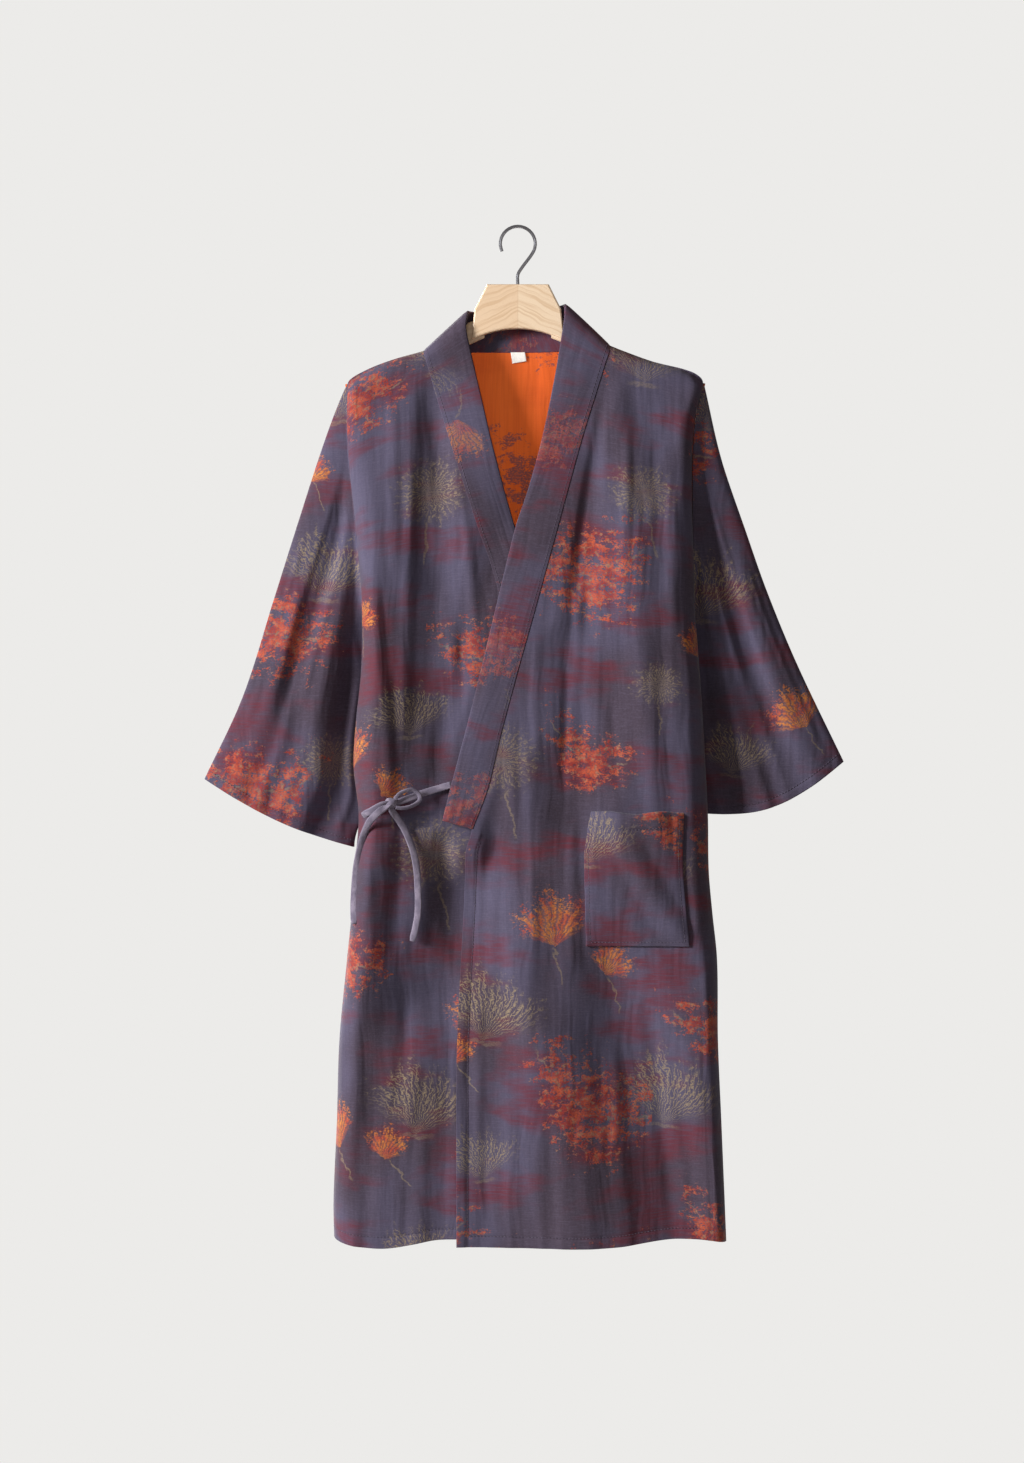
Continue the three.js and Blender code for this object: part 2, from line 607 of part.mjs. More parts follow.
// A loop round one sleeve at share v of its length, starting at the outer fold and going over the front.
function sleeveRing(side, v) {
  const { fold, cuff, folds } = SLEEVES[side];
  const { flare, tuck, foldY, innerY, half } = SLEEVE_SIZES;
  const open = ease(v / flare);
  const zInner = mix(UNDERARM, cuff.z, v);
  const inner = { x: mix(halfWidth(side, zInner) - tuck * open ** 2, cuff.x, ease((v - 0.8) / 0.2)), z: zInner };
  const outer = { x: read(fold, "v", "x", v), z: read(fold, "v", "z", v) };
  return Array.from({ length: SLEEVE_COLUMNS }, (_, c) => {
    const angle = (2 * Math.PI * c) / SLEEVE_COLUMNS;
    const s = (1 - Math.cos(angle)) / 2;
    const bulge = Math.sign(Math.sin(angle)) * Math.abs(Math.sin(angle)) ** 0.75;
    const isFront = c > 0 && c < SLEEVE_COLUMNS / 2;
    let crease = 0;
    for (const f of folds) {
      const t = (v - f.v1) / (f.v2 - f.v1);
      if (t > 0 && t < 1)
        crease += f.deep * ease(t / 0.2) * ease((1 - t) / 0.2) * bump(s - mix(f.s1, f.s2, t), mix(f.w1, f.w2, t));
    }
    const hang = new THREE.Vector3(
      side * mix(outer.x, inner.x, s),
      mix(foldY, innerY, s) - bulge * (half + crease),
      mix(outer.z, inner.z, s) - cuff.sag * Math.sin(Math.PI * s) * v ** 4,
    );
    const z = mix(ARMHOLE_TOP[side], UNDERARM, s);
    const edge = isFront || s === 0 || s === 1
      ? new THREE.Vector3(side * (halfWidth(side, z) + ARMHOLE_GAP), SEAM / 2, z)
      : backEdge(side, z).add(new THREE.Vector3(side * (ARMHOLE_GAP + 2.6 * ease((s - 0.75) / 0.2)), ARMHOLE_GAP, 0));
    return besideBody(side, edge.lerp(hang, open));
  });
}

// Keeps the front and the back of a sleeve's inner skin apart where the tube is narrow.
function sleeveWall(side) {
  const grid = Array.from({ length: SLEEVE_ROWS }, (_, r) => sleeveRing(side, (r / (SLEEVE_ROWS - 1)) ** 1.25));
  const settle = (p, outerPoint, r, c) => {
    const nearUnderarm = r < 3 && Math.abs(c - SLEEVE_COLUMNS / 2) < 3;
    if (nearUnderarm && side * p.x < side * outerPoint.x) p.x = outerPoint.x;
    if (c === 0 || c === SLEEVE_COLUMNS / 2) return p.setY(outerPoint.y);
    const middle = (outerPoint.y + grid[r][SLEEVE_COLUMNS - c].y) / 2;
    p.y = c < SLEEVE_COLUMNS / 2 ? Math.min(p.y, middle - 0.5) : Math.max(p.y, middle + 0.5);
    return p;
  };
  return wall(grid, CLOTH, side, { ring: true, settle });
}

// The patch pocket, made from the points of the left front beneath it and gaping at its mouth.
function pocket() {
  const near = (list, value) =>
    list.reduce((best, item, i) => (Math.abs(item - value) < Math.abs(list[best] - value) ? i : best), 0);
  const [top, bottom] = [near(overRows, POCKET.top), near(overRows, POCKET.bottom)];
  const [left, right] = [POCKET.left, POCKET.right].map((x) => near(overColumns, pocketShare(x)));
  const grid = [];
  for (let r = top; r <= bottom; r += 1) {
    const mouth = 1 - (r - top) / (bottom - top);
    const row = [];
    for (let c = left; c <= right; c += 1) {
      const across = (c - left) / (right - left);
      const gape = POCKET.gape * mouth * Math.sin(Math.PI * across) ** 0.8;
      row.push(overGrid[r][c].clone().add(new THREE.Vector3(0, -(PATCH + SEAM + 0.3 + gape), 0)));
    }
    grid.push(row);
  }
  return wall(grid, PATCH, 1);
}

// A blank woven label inside the back of the neck.
function neckLabel() {
  const [wide, high, thick] = [17, 12, 0.8];
  const grid = [-wide / 2, 0, wide / 2].map((x) =>
    [0, -high / 2, -high].map((drop) => {
      const z = NECK.back - 1 + drop;
      return new THREE.Vector3(x, depth(BACK, x, z) - CLOTH - SEAM - thick, z);
    }),
  );
  return wall(grid, thick, 1);
}

// A point ahead of the right front's outer skin.
function ahead([x, z, off]) {
  const front = bodyPoint(FRONT, x, z, sink(x, z));
  return new THREE.Vector3(x, front.y - off, z);
}

// A flat band with rounded edges along a route.
function band({ wide, thick, steps: count }, route) {
  const section = new THREE.Shape();
  section.absellipse(0, 0, thick / 2, wide / 2, 0, 2 * Math.PI);
  return new THREE.ExtrudeGeometry(section, {
    curveSegments: 4,
    steps: count,
    extrudePath: new THREE.CatmullRomCurve3(route),
  });
}

function knot() {
  const lump = new THREE.SphereGeometry(0.5, 14, 10);
  lump.scale(KNOT.wide, KNOT.deep, KNOT.high);
  const { x, y, z } = ahead([KNOT.x, KNOT.z, KNOT.ahead]);
  return lump.translate(x, y, z);
}

// One arm of the hanger: an oval bar close beneath the shoulder's ridge, from inside the plate to its tip.
function hangerArm(side) {
  const { ridgeRoom, armWide, armColumns } = HANGER;
  const rings = HANGER_ARMS[side].map(({ x, top, high, wide }) => {
    const z = (top ?? ridge(side * x) - CLOTH - ridgeRoom) - high / 2;
    return Array.from({ length: armColumns }, (_, c) => {
      const angle = (2 * Math.PI * c) / armColumns;
      const y = Math.sin(angle) * (wide ?? armWide) * 0.5;
      return new THREE.Vector3(side * x, y, z + (Math.cos(angle) * high) / 2);
    });
  });
  return capped(rings);
}

// A solid through a row of rings, closed by a fan at each end.
function capped(rings) {
  const columns = rings[0].length;
  const points = rings.flat();
  const index = [];
  for (let r = 0; r < rings.length - 1; r += 1)
    for (let c = 0; c < columns; c += 1) {
      const [a, b] = [r * columns + c, r * columns + ((c + 1) % columns)];
      index.push(a, a + columns, b + columns, a, b + columns, b);
    }
  for (const [r, flip] of [[0, false], [rings.length - 1, true]]) {
    const middle = new THREE.Vector3();
    for (const p of rings[r]) middle.addScaledVector(p, 1 / columns);
    points.push(middle);
    for (let c = 0; c < columns; c += 1) {
      const [a, b] = [r * columns + c, r * columns + ((c + 1) % columns)];
      index.push(...(flip ? [b, a, points.length - 1] : [a, b, points.length - 1]));
    }
  }
  return closed(points, index);
}

// The hanger's middle: a plate with a flat top, sloped shoulders and an arched underside.
function hangerPlate() {
  const { top, thick, bevel, corner, foot, arch } = HANGER;
  const outline = new THREE.Shape();
  outline.moveTo(-corner.flat, top);
  outline.lineTo(corner.flat, top);
  outline.lineTo(corner.x, corner.z);
  outline.lineTo(foot.x, foot.z);
  outline.quadraticCurveTo(0, arch, -foot.x, foot.z);
  outline.lineTo(-corner.x, corner.z);
  outline.closePath();
  const plate = new THREE.ExtrudeGeometry(outline, {
    depth: thick - 2 * bevel,
    bevelThickness: bevel,
    bevelSize: bevel,
    bevelOffset: -bevel,
    bevelSegments: 2,
    curveSegments: 12,
  });
  return plate.translate(0, 0, bevel - thick / 2).rotateX(Math.PI / 2);
}

// Joins overlapping geometries into one closed solid.
function joined(geometries) {
  const solids = geometries.map((geometry) => {
    const bare = new THREE.BufferGeometry();
    const source = geometry.index ? geometry.toNonIndexed() : geometry;
    bare.setAttribute("position", source.getAttribute("position"));
    const merged = mergeVertices(bare, 1e-4);
    return new wasm.Manifold(
      new wasm.Mesh({
        numProp: 3,
        vertProperties: merged.getAttribute("position").array,
        triVerts: new Uint32Array(merged.index.array),
      }),
    );
  });
  const mesh = solids.reduce((a, b) => a.add(b)).getMesh();
  const geometry = new THREE.BufferGeometry();
  geometry.setAttribute("position", new THREE.BufferAttribute(mesh.vertProperties, 3));
  geometry.setIndex(new THREE.BufferAttribute(mesh.triVerts, 1));
  geometry.computeVertexNormals();
  return geometry;
}

// The steel hook, whose inner top is the origin.
function hook() {
  const { wire, stem, radius } = HOOK;
  const bend = (degrees) => {
    const angle = THREE.MathUtils.degToRad(degrees);
    return new THREE.Vector3(radius * Math.cos(angle), 0, wire / 2 - radius + radius * Math.sin(angle));
  };
  const route = [
    new THREE.Vector3(0, 0, HANGER.top + SEAM),
    new THREE.Vector3(0, 0, HANGER.top + stem),
    new THREE.Vector3(radius * 0.22, 0, HANGER.top + stem + 8),
    ...steps(-62, 205, 12).map(bend),
  ];
  const section = new THREE.Shape();
  section.absarc(0, 0, wire / 2, 0, 2 * Math.PI);
  return new THREE.ExtrudeGeometry(section, {
    curveSegments: 5,
    steps: 34,
    extrudePath: new THREE.CatmullRomCurve3(route),
  });
}

const material = (color, roughness, metalness = 0) => new THREE.MeshStandardMaterial({ color, roughness, metalness });
const cloth = material(0x5a5468, 0.9);
const collarCloth = material(0x5a4650, 0.9);
const tieCloth = material(0x44353e, 0.9);
const labelCloth = material(0xe8e4dc, 0.85);

const robe = new THREE.Group();
robe.name = "robe_on_hanger";
function add(name, geometry, finish) {
  const mesh = new THREE.Mesh(geometry, finish);
  mesh.name = name;
  robe.add(mesh);
}

add("front_left", wall(overGrid, CLOTH, 1, { settle: ownSide(FRONT) }), cloth);
add("front_right", wall(underGrid, CLOTH, -1, { settle: ownSide(FRONT) }), cloth);
add("back", wall(backGrid, CLOTH, -1, { settle: ownSide(BACK) }), cloth);
add("sleeve_right", sleeveWall(RIGHT), cloth);
add("sleeve_left", sleeveWall(LEFT), cloth);
add("collar", collar(), collarCloth);
add("pocket", pocket(), cloth);
add("neck_label", neckLabel(), labelCloth);
add("tie_knot", knot(), tieCloth);
for (const [name, route] of Object.entries(TIES))
  add(name, band(name === "tie_loop" ? LOOP : TIE, route.map(ahead)), tieCloth);

add("hanger", joined([hangerPlate(), hangerArm(RIGHT), hangerArm(LEFT)]), material(0xe0c49a, 0.55));
add("hanger_hook", hook(), material(0xb8bac0, 0.25, 1));

export default robe;
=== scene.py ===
"""A kimono robe on a wooden hanger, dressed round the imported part.

The tables below hold millimetres, in the part's own frame: Z is up, the front faces -Y and the origin is the
inner top of the hanger's hook. Right and left are the wearer's, so the right side lies at negative X.
"""
import math

import bmesh
import bpy
import numpy as np
from bpy.props import FloatProperty, FloatVectorProperty, PointerProperty
from mathutils import Matrix, Vector


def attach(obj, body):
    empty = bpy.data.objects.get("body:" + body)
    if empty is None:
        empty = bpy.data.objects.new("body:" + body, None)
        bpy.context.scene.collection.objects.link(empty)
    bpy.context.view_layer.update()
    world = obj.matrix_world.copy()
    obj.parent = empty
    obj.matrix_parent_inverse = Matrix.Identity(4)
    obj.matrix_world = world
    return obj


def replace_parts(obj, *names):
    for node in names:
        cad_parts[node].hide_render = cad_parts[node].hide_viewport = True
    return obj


bl_info = {
    "name": "Kimono Robe",
    "version": (1, 0, 0),
    "blender": (4, 5, 0),
    "location": "View3D > Sidebar > Robe",
    "description": "Builds a kimono robe with its ties, on a wooden hanger",
    "category": "Add Mesh",
}

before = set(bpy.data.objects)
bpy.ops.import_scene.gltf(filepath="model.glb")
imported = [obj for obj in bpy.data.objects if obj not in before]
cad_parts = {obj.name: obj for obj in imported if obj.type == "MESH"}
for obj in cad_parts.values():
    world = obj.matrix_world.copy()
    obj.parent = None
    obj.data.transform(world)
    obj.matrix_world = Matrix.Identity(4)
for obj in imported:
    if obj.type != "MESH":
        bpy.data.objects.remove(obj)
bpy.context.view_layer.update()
MM = 0.001
RIGHT, LEFT = -1, 1


def table(columns, *rows):
    """A table of sizes, as one array for each named column."""
    return dict(zip(columns.split(), np.array(rows, float).T))


# The body's walls

SEAM = 0.3
ARMHOLE_GAP = 0.9
UNDERLAP = 7
RIDGE_DEEP = 11
RIDGE_HIGH = 14
SPREAD = {"front": 230, "back": 120}
ROLL = {"front": 26, "back": 60, "tip": 12, "drop": 110}
NECK = {RIGHT: (-112, -147), LEFT: (110, -141), "back": -147}
HEM = {"over": -1215, "under": -1210, "back": -1206}
UNDERARM = -450
ARMHOLE_TOP = {RIGHT: -187, LEFT: -186}
POCKET = {"left": 79, "right": 197, "top": -697, "bottom": -859, "gape": 11, "ahead": 2.2}
FRONT_EDGE = {"over": -73, "under": 62}
COLLAR_END = {"over": -720, "under": -715}
LAYER = {LEFT: "over", RIGHT: "under"}

# The drop in which a free front edge straightens, and the share of a fold in which it rises or dies away
SETTLE = 300
FADE = 0.2
# The dent along a line of stitches, and the pocket's hem
PRESS = 2.6
MOUTH_HEM = 20
# Rows and columns of the mesh that lie close together: below the shoulder, above the hem, at an edge
NEAR_SHOULDER = np.array([0, 0.7, 1.5, 3, 5, 8, 11, 16, 22, 30])
NEAR_HEM = np.array([24, 20, 17, 15, 13.5, 12, 10, 7, 4, 2, 0.8, 0])
NEAR_EDGE = [0, 0.0022, 0.006, 0.012, 0.02, 0.028, 0.035, 0.04, 0.046]
NEAR_CUFF = [0.976, 0.982, 0.988, 0.993, 0.997, 1]

SIDES = table(
    "z right left",
    (-150, 202, 222), (-187, 204, 222), (-232, 205, 212), (-290, 202, 209), (-335, 197, 209),
    (-397, 191, 211), (-450, 187, 212), (-530, 188, 218), (-590, 194, 222), (-645, 197, 225),
    (-704, 191, 228), (-770, 196, 229), (-818, 199, 233), (-878, 205, 239), (-974, 214, 240),
    (-1070, 217, 244), (-1166, 221, 248), (-1216, 220, 250),
)
SHOULDERS = table(
    "x z",
    (-230, -205), (-204, -187), (-172, -168), (-142, -156), (-112, -147), (0, -108), (110, -141),
    (122, -146), (158, -160), (200, -172), (222, -186), (240, -200),
)
DEPTHS = table(
    "z front back",
    (-150, 13, 22), (-300, 20, 24), (-450, 26, 25), (-700, 33, 28), (-1000, 38, 32), (-1216, 42, 35),
)
HEMLINE = table(
    "x over under back",
    (-260, 0, 2, 0), (-220, 0, 2, 0), (-142, 0, -8, -5), (-76, -1, 2, 3), (20, -2, 0, -4),
    (98, -1, 0, 0), (170, 7, 0, 5), (250, 1, 0, 0), (270, 1, 0, 0),
)
COLLAR_OVER = table(
    "sx sz ex ez least",
    (-55, -720, -90, -710, 0), (-37, -672, -79, -666, 0), (-21, -606, -61, -598, 0),
    (-3, -538, -44, -530, 0), (16, -470, -28, -463, 0), (34, -405, -12, -396, 0),
    (45, -365, -2, -357, 0), (58, -317, 13, -312, 0), (76, -252, 30, -248, 0),
    (96, -187, 45, -175, 11.5), (104, -161, 51, -138, 11.5), (108, -149, 55, -112, 11.5),
    (109.4, -143.4, 56.5, -97, 6), (110, -141, 57, -91, 0),
)
COLLAR_BACK = table(
    "sx ex ey ez",
    (110, 57, 0, -91), (104, 55, 6, -91), (92, 50, 11, -92), (60, 33, 15, -94), (0, 0, 17, -96),
    (-60, -34, 15, -98), (-92, -52, 11, -99), (-106, -58, 6, -99), (-112, -60, 0, -99),
)
COLLAR_UNDER = table(
    "sx sz ex ez least",
    (-112, -147, -60, -99, 0), (-111.4, -149.4, -61, -105, 6), (-110, -155, -62, -118, 11.5),
    (-106, -168, -58, -141, 11.5), (-93, -213, -44, -202, 11.5), (-74, -275, -29, -266, 0),
    (-46, -362, -5, -354, 0), (-31, -404, 10, -396, 0), (5, -538, 46, -530, 0),
    (40, -672, 82, -664, 0), (60, -715, 96, -706, 0),
)

# Each fold runs from x1, z1 down to x2, z2, and is w1 wide at the top and w2 at the foot

FOLD = "x1 z1 x2 z2 w1 w2 deep"
FRONT_FOLDS = table(
    FOLD,
    (-99, -131, -105, -650, 26, 35, -7.0), (-101, -196, -46, -683, 15, 34, -3.2),
    (-178, -255, -149, -713, 44, 36, 6.7), (-127, -925, -229, -1267, 41, 23, -2.1),
    (-66, -721, -91, -961, 58, 76, -10.5), (-161, -746, -120, -993, 25, 61, -5.5),
    (-149, -730, -51, -1063, 21, 45, -2.3), (93, -149, 72, -554, 12, 39, -4.8),
    (117, -135, 107, -557, 23, 30, 3.3), (138, -204, 159, -723, 30, 60, 9.0),
    (50, -438, 42, -644, 31, 31, 6.3), (195, -187, 230, -712, 18, 70, 4.2),
    (-24, -633, 4, -999, 28, 20, 4.0), (27, -622, 36, -971, 55, 35, 2.6),
    (99, -812, 214, -1283, 60, 72, -14.7), (230, -838, 250, -1273, 21, 15, 7.9),
    (28, -897, 75, -1278, 42, 78, 14.2), (-50, -985, -51, -1356, 27, 19, -3.7),
    (-92, -370, -60, -723, 25, 60, -4.6), (-180, -381, -169, -819, 14, 49, 8.7),
    (-119, -725, -189, -1187, 37, 50, -2.6), (-120, -827, -124, -1229, 30, 27, -2.3),
    (-60, -528, -19, -779, 26, 42, -8.0), (46, -437, 69, -779, 29, 64, -9.6),
    (118, -266, 173, -779, 29, 16, 2.5), (170, -521, 177, -789, 29, 34, 1.2),
    (-64, -702, -72, -1010, 104, 108, -7.5), (-170, -712, -190, -980, 40, 40, 3.5),
    (209, -516, 202, -744, 50, 16, 3.3), (11, -721, 3, -1236, 31, 44, 5.8),
    (162, -786, 206, -1251, 33, 35, -2.3), (58, -888, 131, -1291, 21, 36, 1.6),
    (-43, -989, -70, -1262, 19, 43, 3.5), (151, -201, 145, -373, 23, 15, -2.0),
    (173, -239, 181, -519, 12, 34, 3.2), (-141, -191, -133, -470, 42, 17, 2.4),
)
BACK_FOLDS = table(
    FOLD,
    (-60, -190, -96, -760, 26, 52, -9), (66, -190, 110, -820, 24, 56, -10),
    (4, -230, -10, -900, 34, 46, 7), (-130, -260, -140, -700, 30, 36, 5),
    (150, -240, 156, -680, 28, 40, 6), (60, -760, 46, -1330, 44, 62, 10),
    (-52, -820, -70, -1330, 40, 60, 9), (0, -900, -8, -1330, 36, 50, -9),
    (130, -860, 158, -1330, 40, 60, -11), (-136, -700, -150, -1330, 34, 56, -10),
)
# The scene's own finer creases
FRONT_CREASES = table(
    FOLD,
    (-150, -190, -146, -430, 9, 14, 1.4), (-128, -260, -136, -640, 10, 16, 1.6),
    (-186, -300, -184, -560, 8, 12, 1.3), (-68, -300, -40, -560, 9, 12, 1.2),
    (-80, -470, -66, -690, 9, 16, 1.7), (-160, -520, -150, -684, 9, 12, 1.6),
    (-172, -700, -196, -860, 10, 18, 1.8), (-140, -704, -150, -880, 8, 16, -1.8),
    (-120, -720, -84, -900, 8, 16, 1.4), (-190, -860, -196, -1100, 12, 18, 1.6),
    (-130, -900, -150, -1160, 12, 18, -1.6), (-66, -880, -76, -1180, 10, 16, 1.6),
    (-112, -1060, -122, -1290, 12, 18, 1.8), (-176, -1120, -186, -1300, 12, 16, -1.6),
    (72, -240, 40, -420, 8, 12, 1.4), (88, -250, 64, -470, 7, 11, -1.6),
    (132, -230, 122, -520, 9, 14, 1.3), (166, -230, 168, -470, 9, 13, -1.3),
    (182, -300, 188, -640, 9, 13, 1.4), (74, -420, 66, -660, 8, 12, 1.6),
    (58, -500, 54, -690, 6, 9, -1.4), (20, -480, 22, -640, 8, 10, 1.4),
    (112, -560, 118, -690, 8, 12, -1.3), (0, -580, 6, -760, 8, 12, -1.4),
    (-30, -720, -28, -930, 8, 12, 1.6), (18, -730, 12, -1000, 9, 14, 1.7),
    (64, -700, 66, -900, 10, 14, 1.8), (-46, -900, -50, -1250, 9, 12, 1.6),
    (-8, -1010, -6, -1300, 11, 16, 1.6), (36, -1040, 44, -1320, 10, 15, -1.7),
    (112, -960, 132, -1300, 14, 20, 1.8), (150, -900, 190, -1200, 12, 20, -1.9),
    (176, -1010, 214, -1300, 14, 20, 2.0), (228, -700, 232, -960, 9, 12, -1.6),
    (78, -1100, 96, -1320, 12, 16, 1.4),
)
BACK_CREASES = table(
    FOLD,
    (-30, -260, -40, -520, 9, 14, 1.9), (36, -250, 44, -560, 9, 14, -1.9),
    (96, -260, 92, -600, 10, 15, 2.1), (-100, -240, -110, -560, 9, 14, -2.1),
    (-160, -300, -158, -640, 10, 14, 1.9), (130, -420, 128, -760, 10, 16, -1.9),
    (-76, -560, -70, -900, 12, 18, 2.2), (24, -600, 26, -960, 12, 18, 2.1),
    (84, -700, 92, -1060, 12, 18, 2.1), (-120, -760, -116, -1140, 12, 18, 2.2),
    (-26, -960, -30, -1300, 12, 18, 2.2), (104, -980, 112, -1300, 14, 20, -2.2),
    (-176, -860, -186, -1260, 12, 18, 2.1), (186, -820, 196, -1260, 12, 18, 2.1),
    (-96, -1040, -104, -1310, 12, 18, -2.1), (28, -1060, 22, -1310, 12, 18, 1.9),
)

# The sleeves

SLEEVE = {"flare": 0.2, "tuck": 8, "foldY": 12, "innerY": 21, "half": 15, "turn": 0.55, "long": 540}
SLEEVE_FOLD = {
    RIGHT: table(
        "v x z",
        (0, 204, -187), (0.08, 226, -232), (0.18, 242, -282), (0.41, 276, -389), (0.525, 293, -443),
        (0.78, 331, -562), (1, 377, -661),
    ),
    LEFT: table(
        "v x z",
        (0, 222, -186), (0.03, 229, -204), (0.17, 243, -270), (0.386, 276, -368), (0.535, 300, -436),
        (0.73, 336, -523), (1, 392, -640),
    ),
}
CUFF = {RIGHT: {"x": 197, "z": -743, "sag": 10}, LEFT: {"x": 227, "z": -703, "sag": 22}}
CREASE = "s1 v1 s2 v2 w1 w2 deep"
SLEEVE_CREASES = {
    RIGHT: table(
        CREASE,
        (0.42, 0.02, 0.3, 0.8, 0.14, 0.12, -6), (0.62, 0.05, 0.55, 1.3, 0.14, 0.16, 5),
        (0.8, 0.3, 0.74, 1.4, 0.12, 0.14, -5), (0.2, 0.35, 0.16, 1.3, 0.1, 0.14, 4),
    ),
    LEFT: table(
        CREASE,
        (0.4, 0.03, 0.34, 0.9, 0.14, 0.12, -6), (0.66, 0.05, 0.6, 1.2, 0.13, 0.15, 5),
        (0.84, 0.25, 0.8, 1.3, 0.1, 0.13, -4), (0.18, 0.3, 0.2, 1.4, 0.12, 0.14, 5),
    ),
}
SLEEVE_RIPPLES = {
    RIGHT: table(
        CREASE,
        (0.5, 0.1, 0.42, 0.7, 0.05, 0.06, 2.2), (0.3, 0.12, 0.24, 0.62, 0.04, 0.05, -2),
        (0.36, 0.5, 0.34, 1.25, 0.05, 0.06, 2.2), (0.7, 0.3, 0.66, 1.1, 0.04, 0.05, 2.2),
        (0.9, 0.35, 0.88, 1.0, 0.04, 0.05, 2), (0.1, 0.3, 0.08, 0.9, 0.03, 0.04, 1.6),
        (0.56, 0.7, 0.5, 1.4, 0.05, 0.06, -2), (1.0, 0.1, 1.0, 1.06, 0.56, 0.36, -11),
    ),
    LEFT: table(
        CREASE,
        (0.52, 0.08, 0.46, 0.66, 0.05, 0.06, 2.2), (0.28, 0.14, 0.26, 0.7, 0.04, 0.05, 2),
        (0.74, 0.25, 0.7, 1.0, 0.04, 0.05, -2.2), (0.4, 0.6, 0.42, 1.3, 0.05, 0.06, 2),
        (0.92, 0.4, 0.9, 1.1, 0.04, 0.05, 2), (0.1, 0.4, 0.1, 1.0, 0.03, 0.04, 1.6),
        (0.56, 0.8, 0.54, 1.4, 0.05, 0.06, 2), (1.0, 0.1, 1.0, 1.06, 0.4, 0.26, -8),
    ),
}

# The ties: points of each route, as x, z and the distance ahead of the front

KNOT = {"x": -151, "z": -689, "ahead": 6, "wide": 15, "high": 13, "deep": 9}
TIE = {"wide": 8.4, "thick": 2.8}
LOOP = {"wide": 5, "thick": 2.4}
TIE_COLLAR = [(-79.4, -667.4, 5.6), (-95, -672, 5), (-112, -677, 5), (-128, -683, 5.5), (-143.1, -688, 6)]
TIE_SIDE = [(-189.6, -704, 0.6), (-183, -701, 4.5), (-175, -698, 5), (-167, -694, 5.5), (-158.9, -690, 6)]
TIE_LOOP = [
    (-145.8, -684.1, 9.3), (-139, -677, 10), (-127, -673, 10), (-118, -678, 10), (-117, -686, 10),
    (-125, -692, 10), (-136, -695, 10), (-145.1, -694, 9.3),
]
TIE_END_FRONT = [
    (-150.2, -696.9, 6), (-143, -707, 6), (-136, -718, 6), (-129, -733, 5), (-123, -752, 5),
    (-120, -772, 5), (-119, -795, 5), (-119, -818, 5), (-122, -838, 5), (-126, -854, 6),
]
TIE_END_SIDE = [
    (-157.4, -694.2, 9), (-167, -701, 11), (-178, -711, 10), (-187, -725, 8), (-195, -743, 6),
    (-202, -765, 5), (-206, -788, 5), (-207, -812, 5), (-203, -833, 5),
]

# The scene: the camera in metres, and each lamp's place, power, size and colour

LENS, SENSOR = 82.05, 36
EYE = {"x": -0.007, "z": -0.604}
AIM = (0, 0, -0.6)
LAMPS = (
    ("key", (-3.44, -1.76, 0.4), 278, 1.1, (0.97, 0.97, 1.0)),
    ("fill", (0.9, -3.7, 0.3), 11, 2.4, (1.0, 0.93, 0.9)),
    ("rim", (-1.9, 3.0, 0.5), 165, 1.4, (1.0, 0.98, 0.97)),
)
NECK_LAMP = {"at": (-0.1, -3.3, -0.1), "aim": (-0.01, 0, -0.24), "power": 620, "radius": 0.3, "angle": 7.5}
ROOM = {"colour": (1.0, 0.92, 0.9, 1.0), "strength": 0.16}
# The woven pattern's repeat, in metres
REPEAT = (0.19, 0.225)


# Shapes of the cloth


def mix(a, b, t):
    return a + (b - a) * t


def ease(t):
    """Rises smoothly from 0 to 1 as t does."""
    k = np.clip(t, 0, 1)
    return k * k * (3 - 2 * k)


def read(rows, key, column, place):
    """One column of a table at places along its key column, on a smooth curve through the rows."""
    order = np.argsort(rows[key])
    keys, values = rows[key][order], rows[column][order]
    last = len(keys) - 1
    at = np.clip(place, keys[0], keys[-1])
    i = np.searchsorted(keys[1:last], at)
    near = np.arange(last + 1)
    low, high = np.maximum(near - 1, 0), np.minimum(near + 1, last)
    slope = (values[high] - values[low]) / (keys[high] - keys[low])
    span = keys[i + 1] - keys[i]
    t = (at - keys[i]) / span
    return (
        (2 * t**3 - 3 * t**2 + 1) * values[i]
        + (t**3 - 2 * t**2 + t) * span * slope[i]
        + (3 * t**2 - 2 * t**3) * values[i + 1]
        + (t**3 - t**2) * span * slope[i + 1]
    )


def ridge(x):
    return read(SHOULDERS, "x", "z", x)


def half_width(side, z):
    return np.where(np.asarray(side) < 0, read(SIDES, "z", "right", z), read(SIDES, "z", "left", z))


def depth(face, x, z):
    """How far a smooth wall stands from the hanger's plane."""
    below = np.maximum(0, ridge(x) - z)
    rounded = np.sqrt(1 - (1 - np.minimum(below / RIDGE_HIGH, 1)) ** 2)
    full = read(DEPTHS, "z", face, z)
    return RIDGE_DEEP * rounded + (full - RIDGE_DEEP) * ease(below / SPREAD[face])


def bump(offset, width):
    return np.maximum(0, 1 - (offset / width) ** 2) ** 2


def crown(t):
    """0 at both ends of a share and 1 in its middle."""
    return np.sin(math.pi * np.clip(t, 0, 1))


def fuller(wave, power):
    """A sine or cosine that a power below 1 makes fuller."""
    return np.sign(wave) * np.abs(wave) ** power


def rise_and_fade(t):
    """1 along a fold, and 0 at its two ends."""
    return ease(t / FADE) * ease((1 - t) / FADE)


def run_along(points):
    """The length along a line of points, at each of them."""
    return np.concatenate([[0], np.cumsum(np.linalg.norm(np.diff(points, axis=0), axis=1))])


def at_lengths(points, along, wanted):
    """Places on a line of points, at the wanted lengths along it."""
    return np.stack([np.interp(wanted, along, points[:, k]) for k in range(3)], -1)


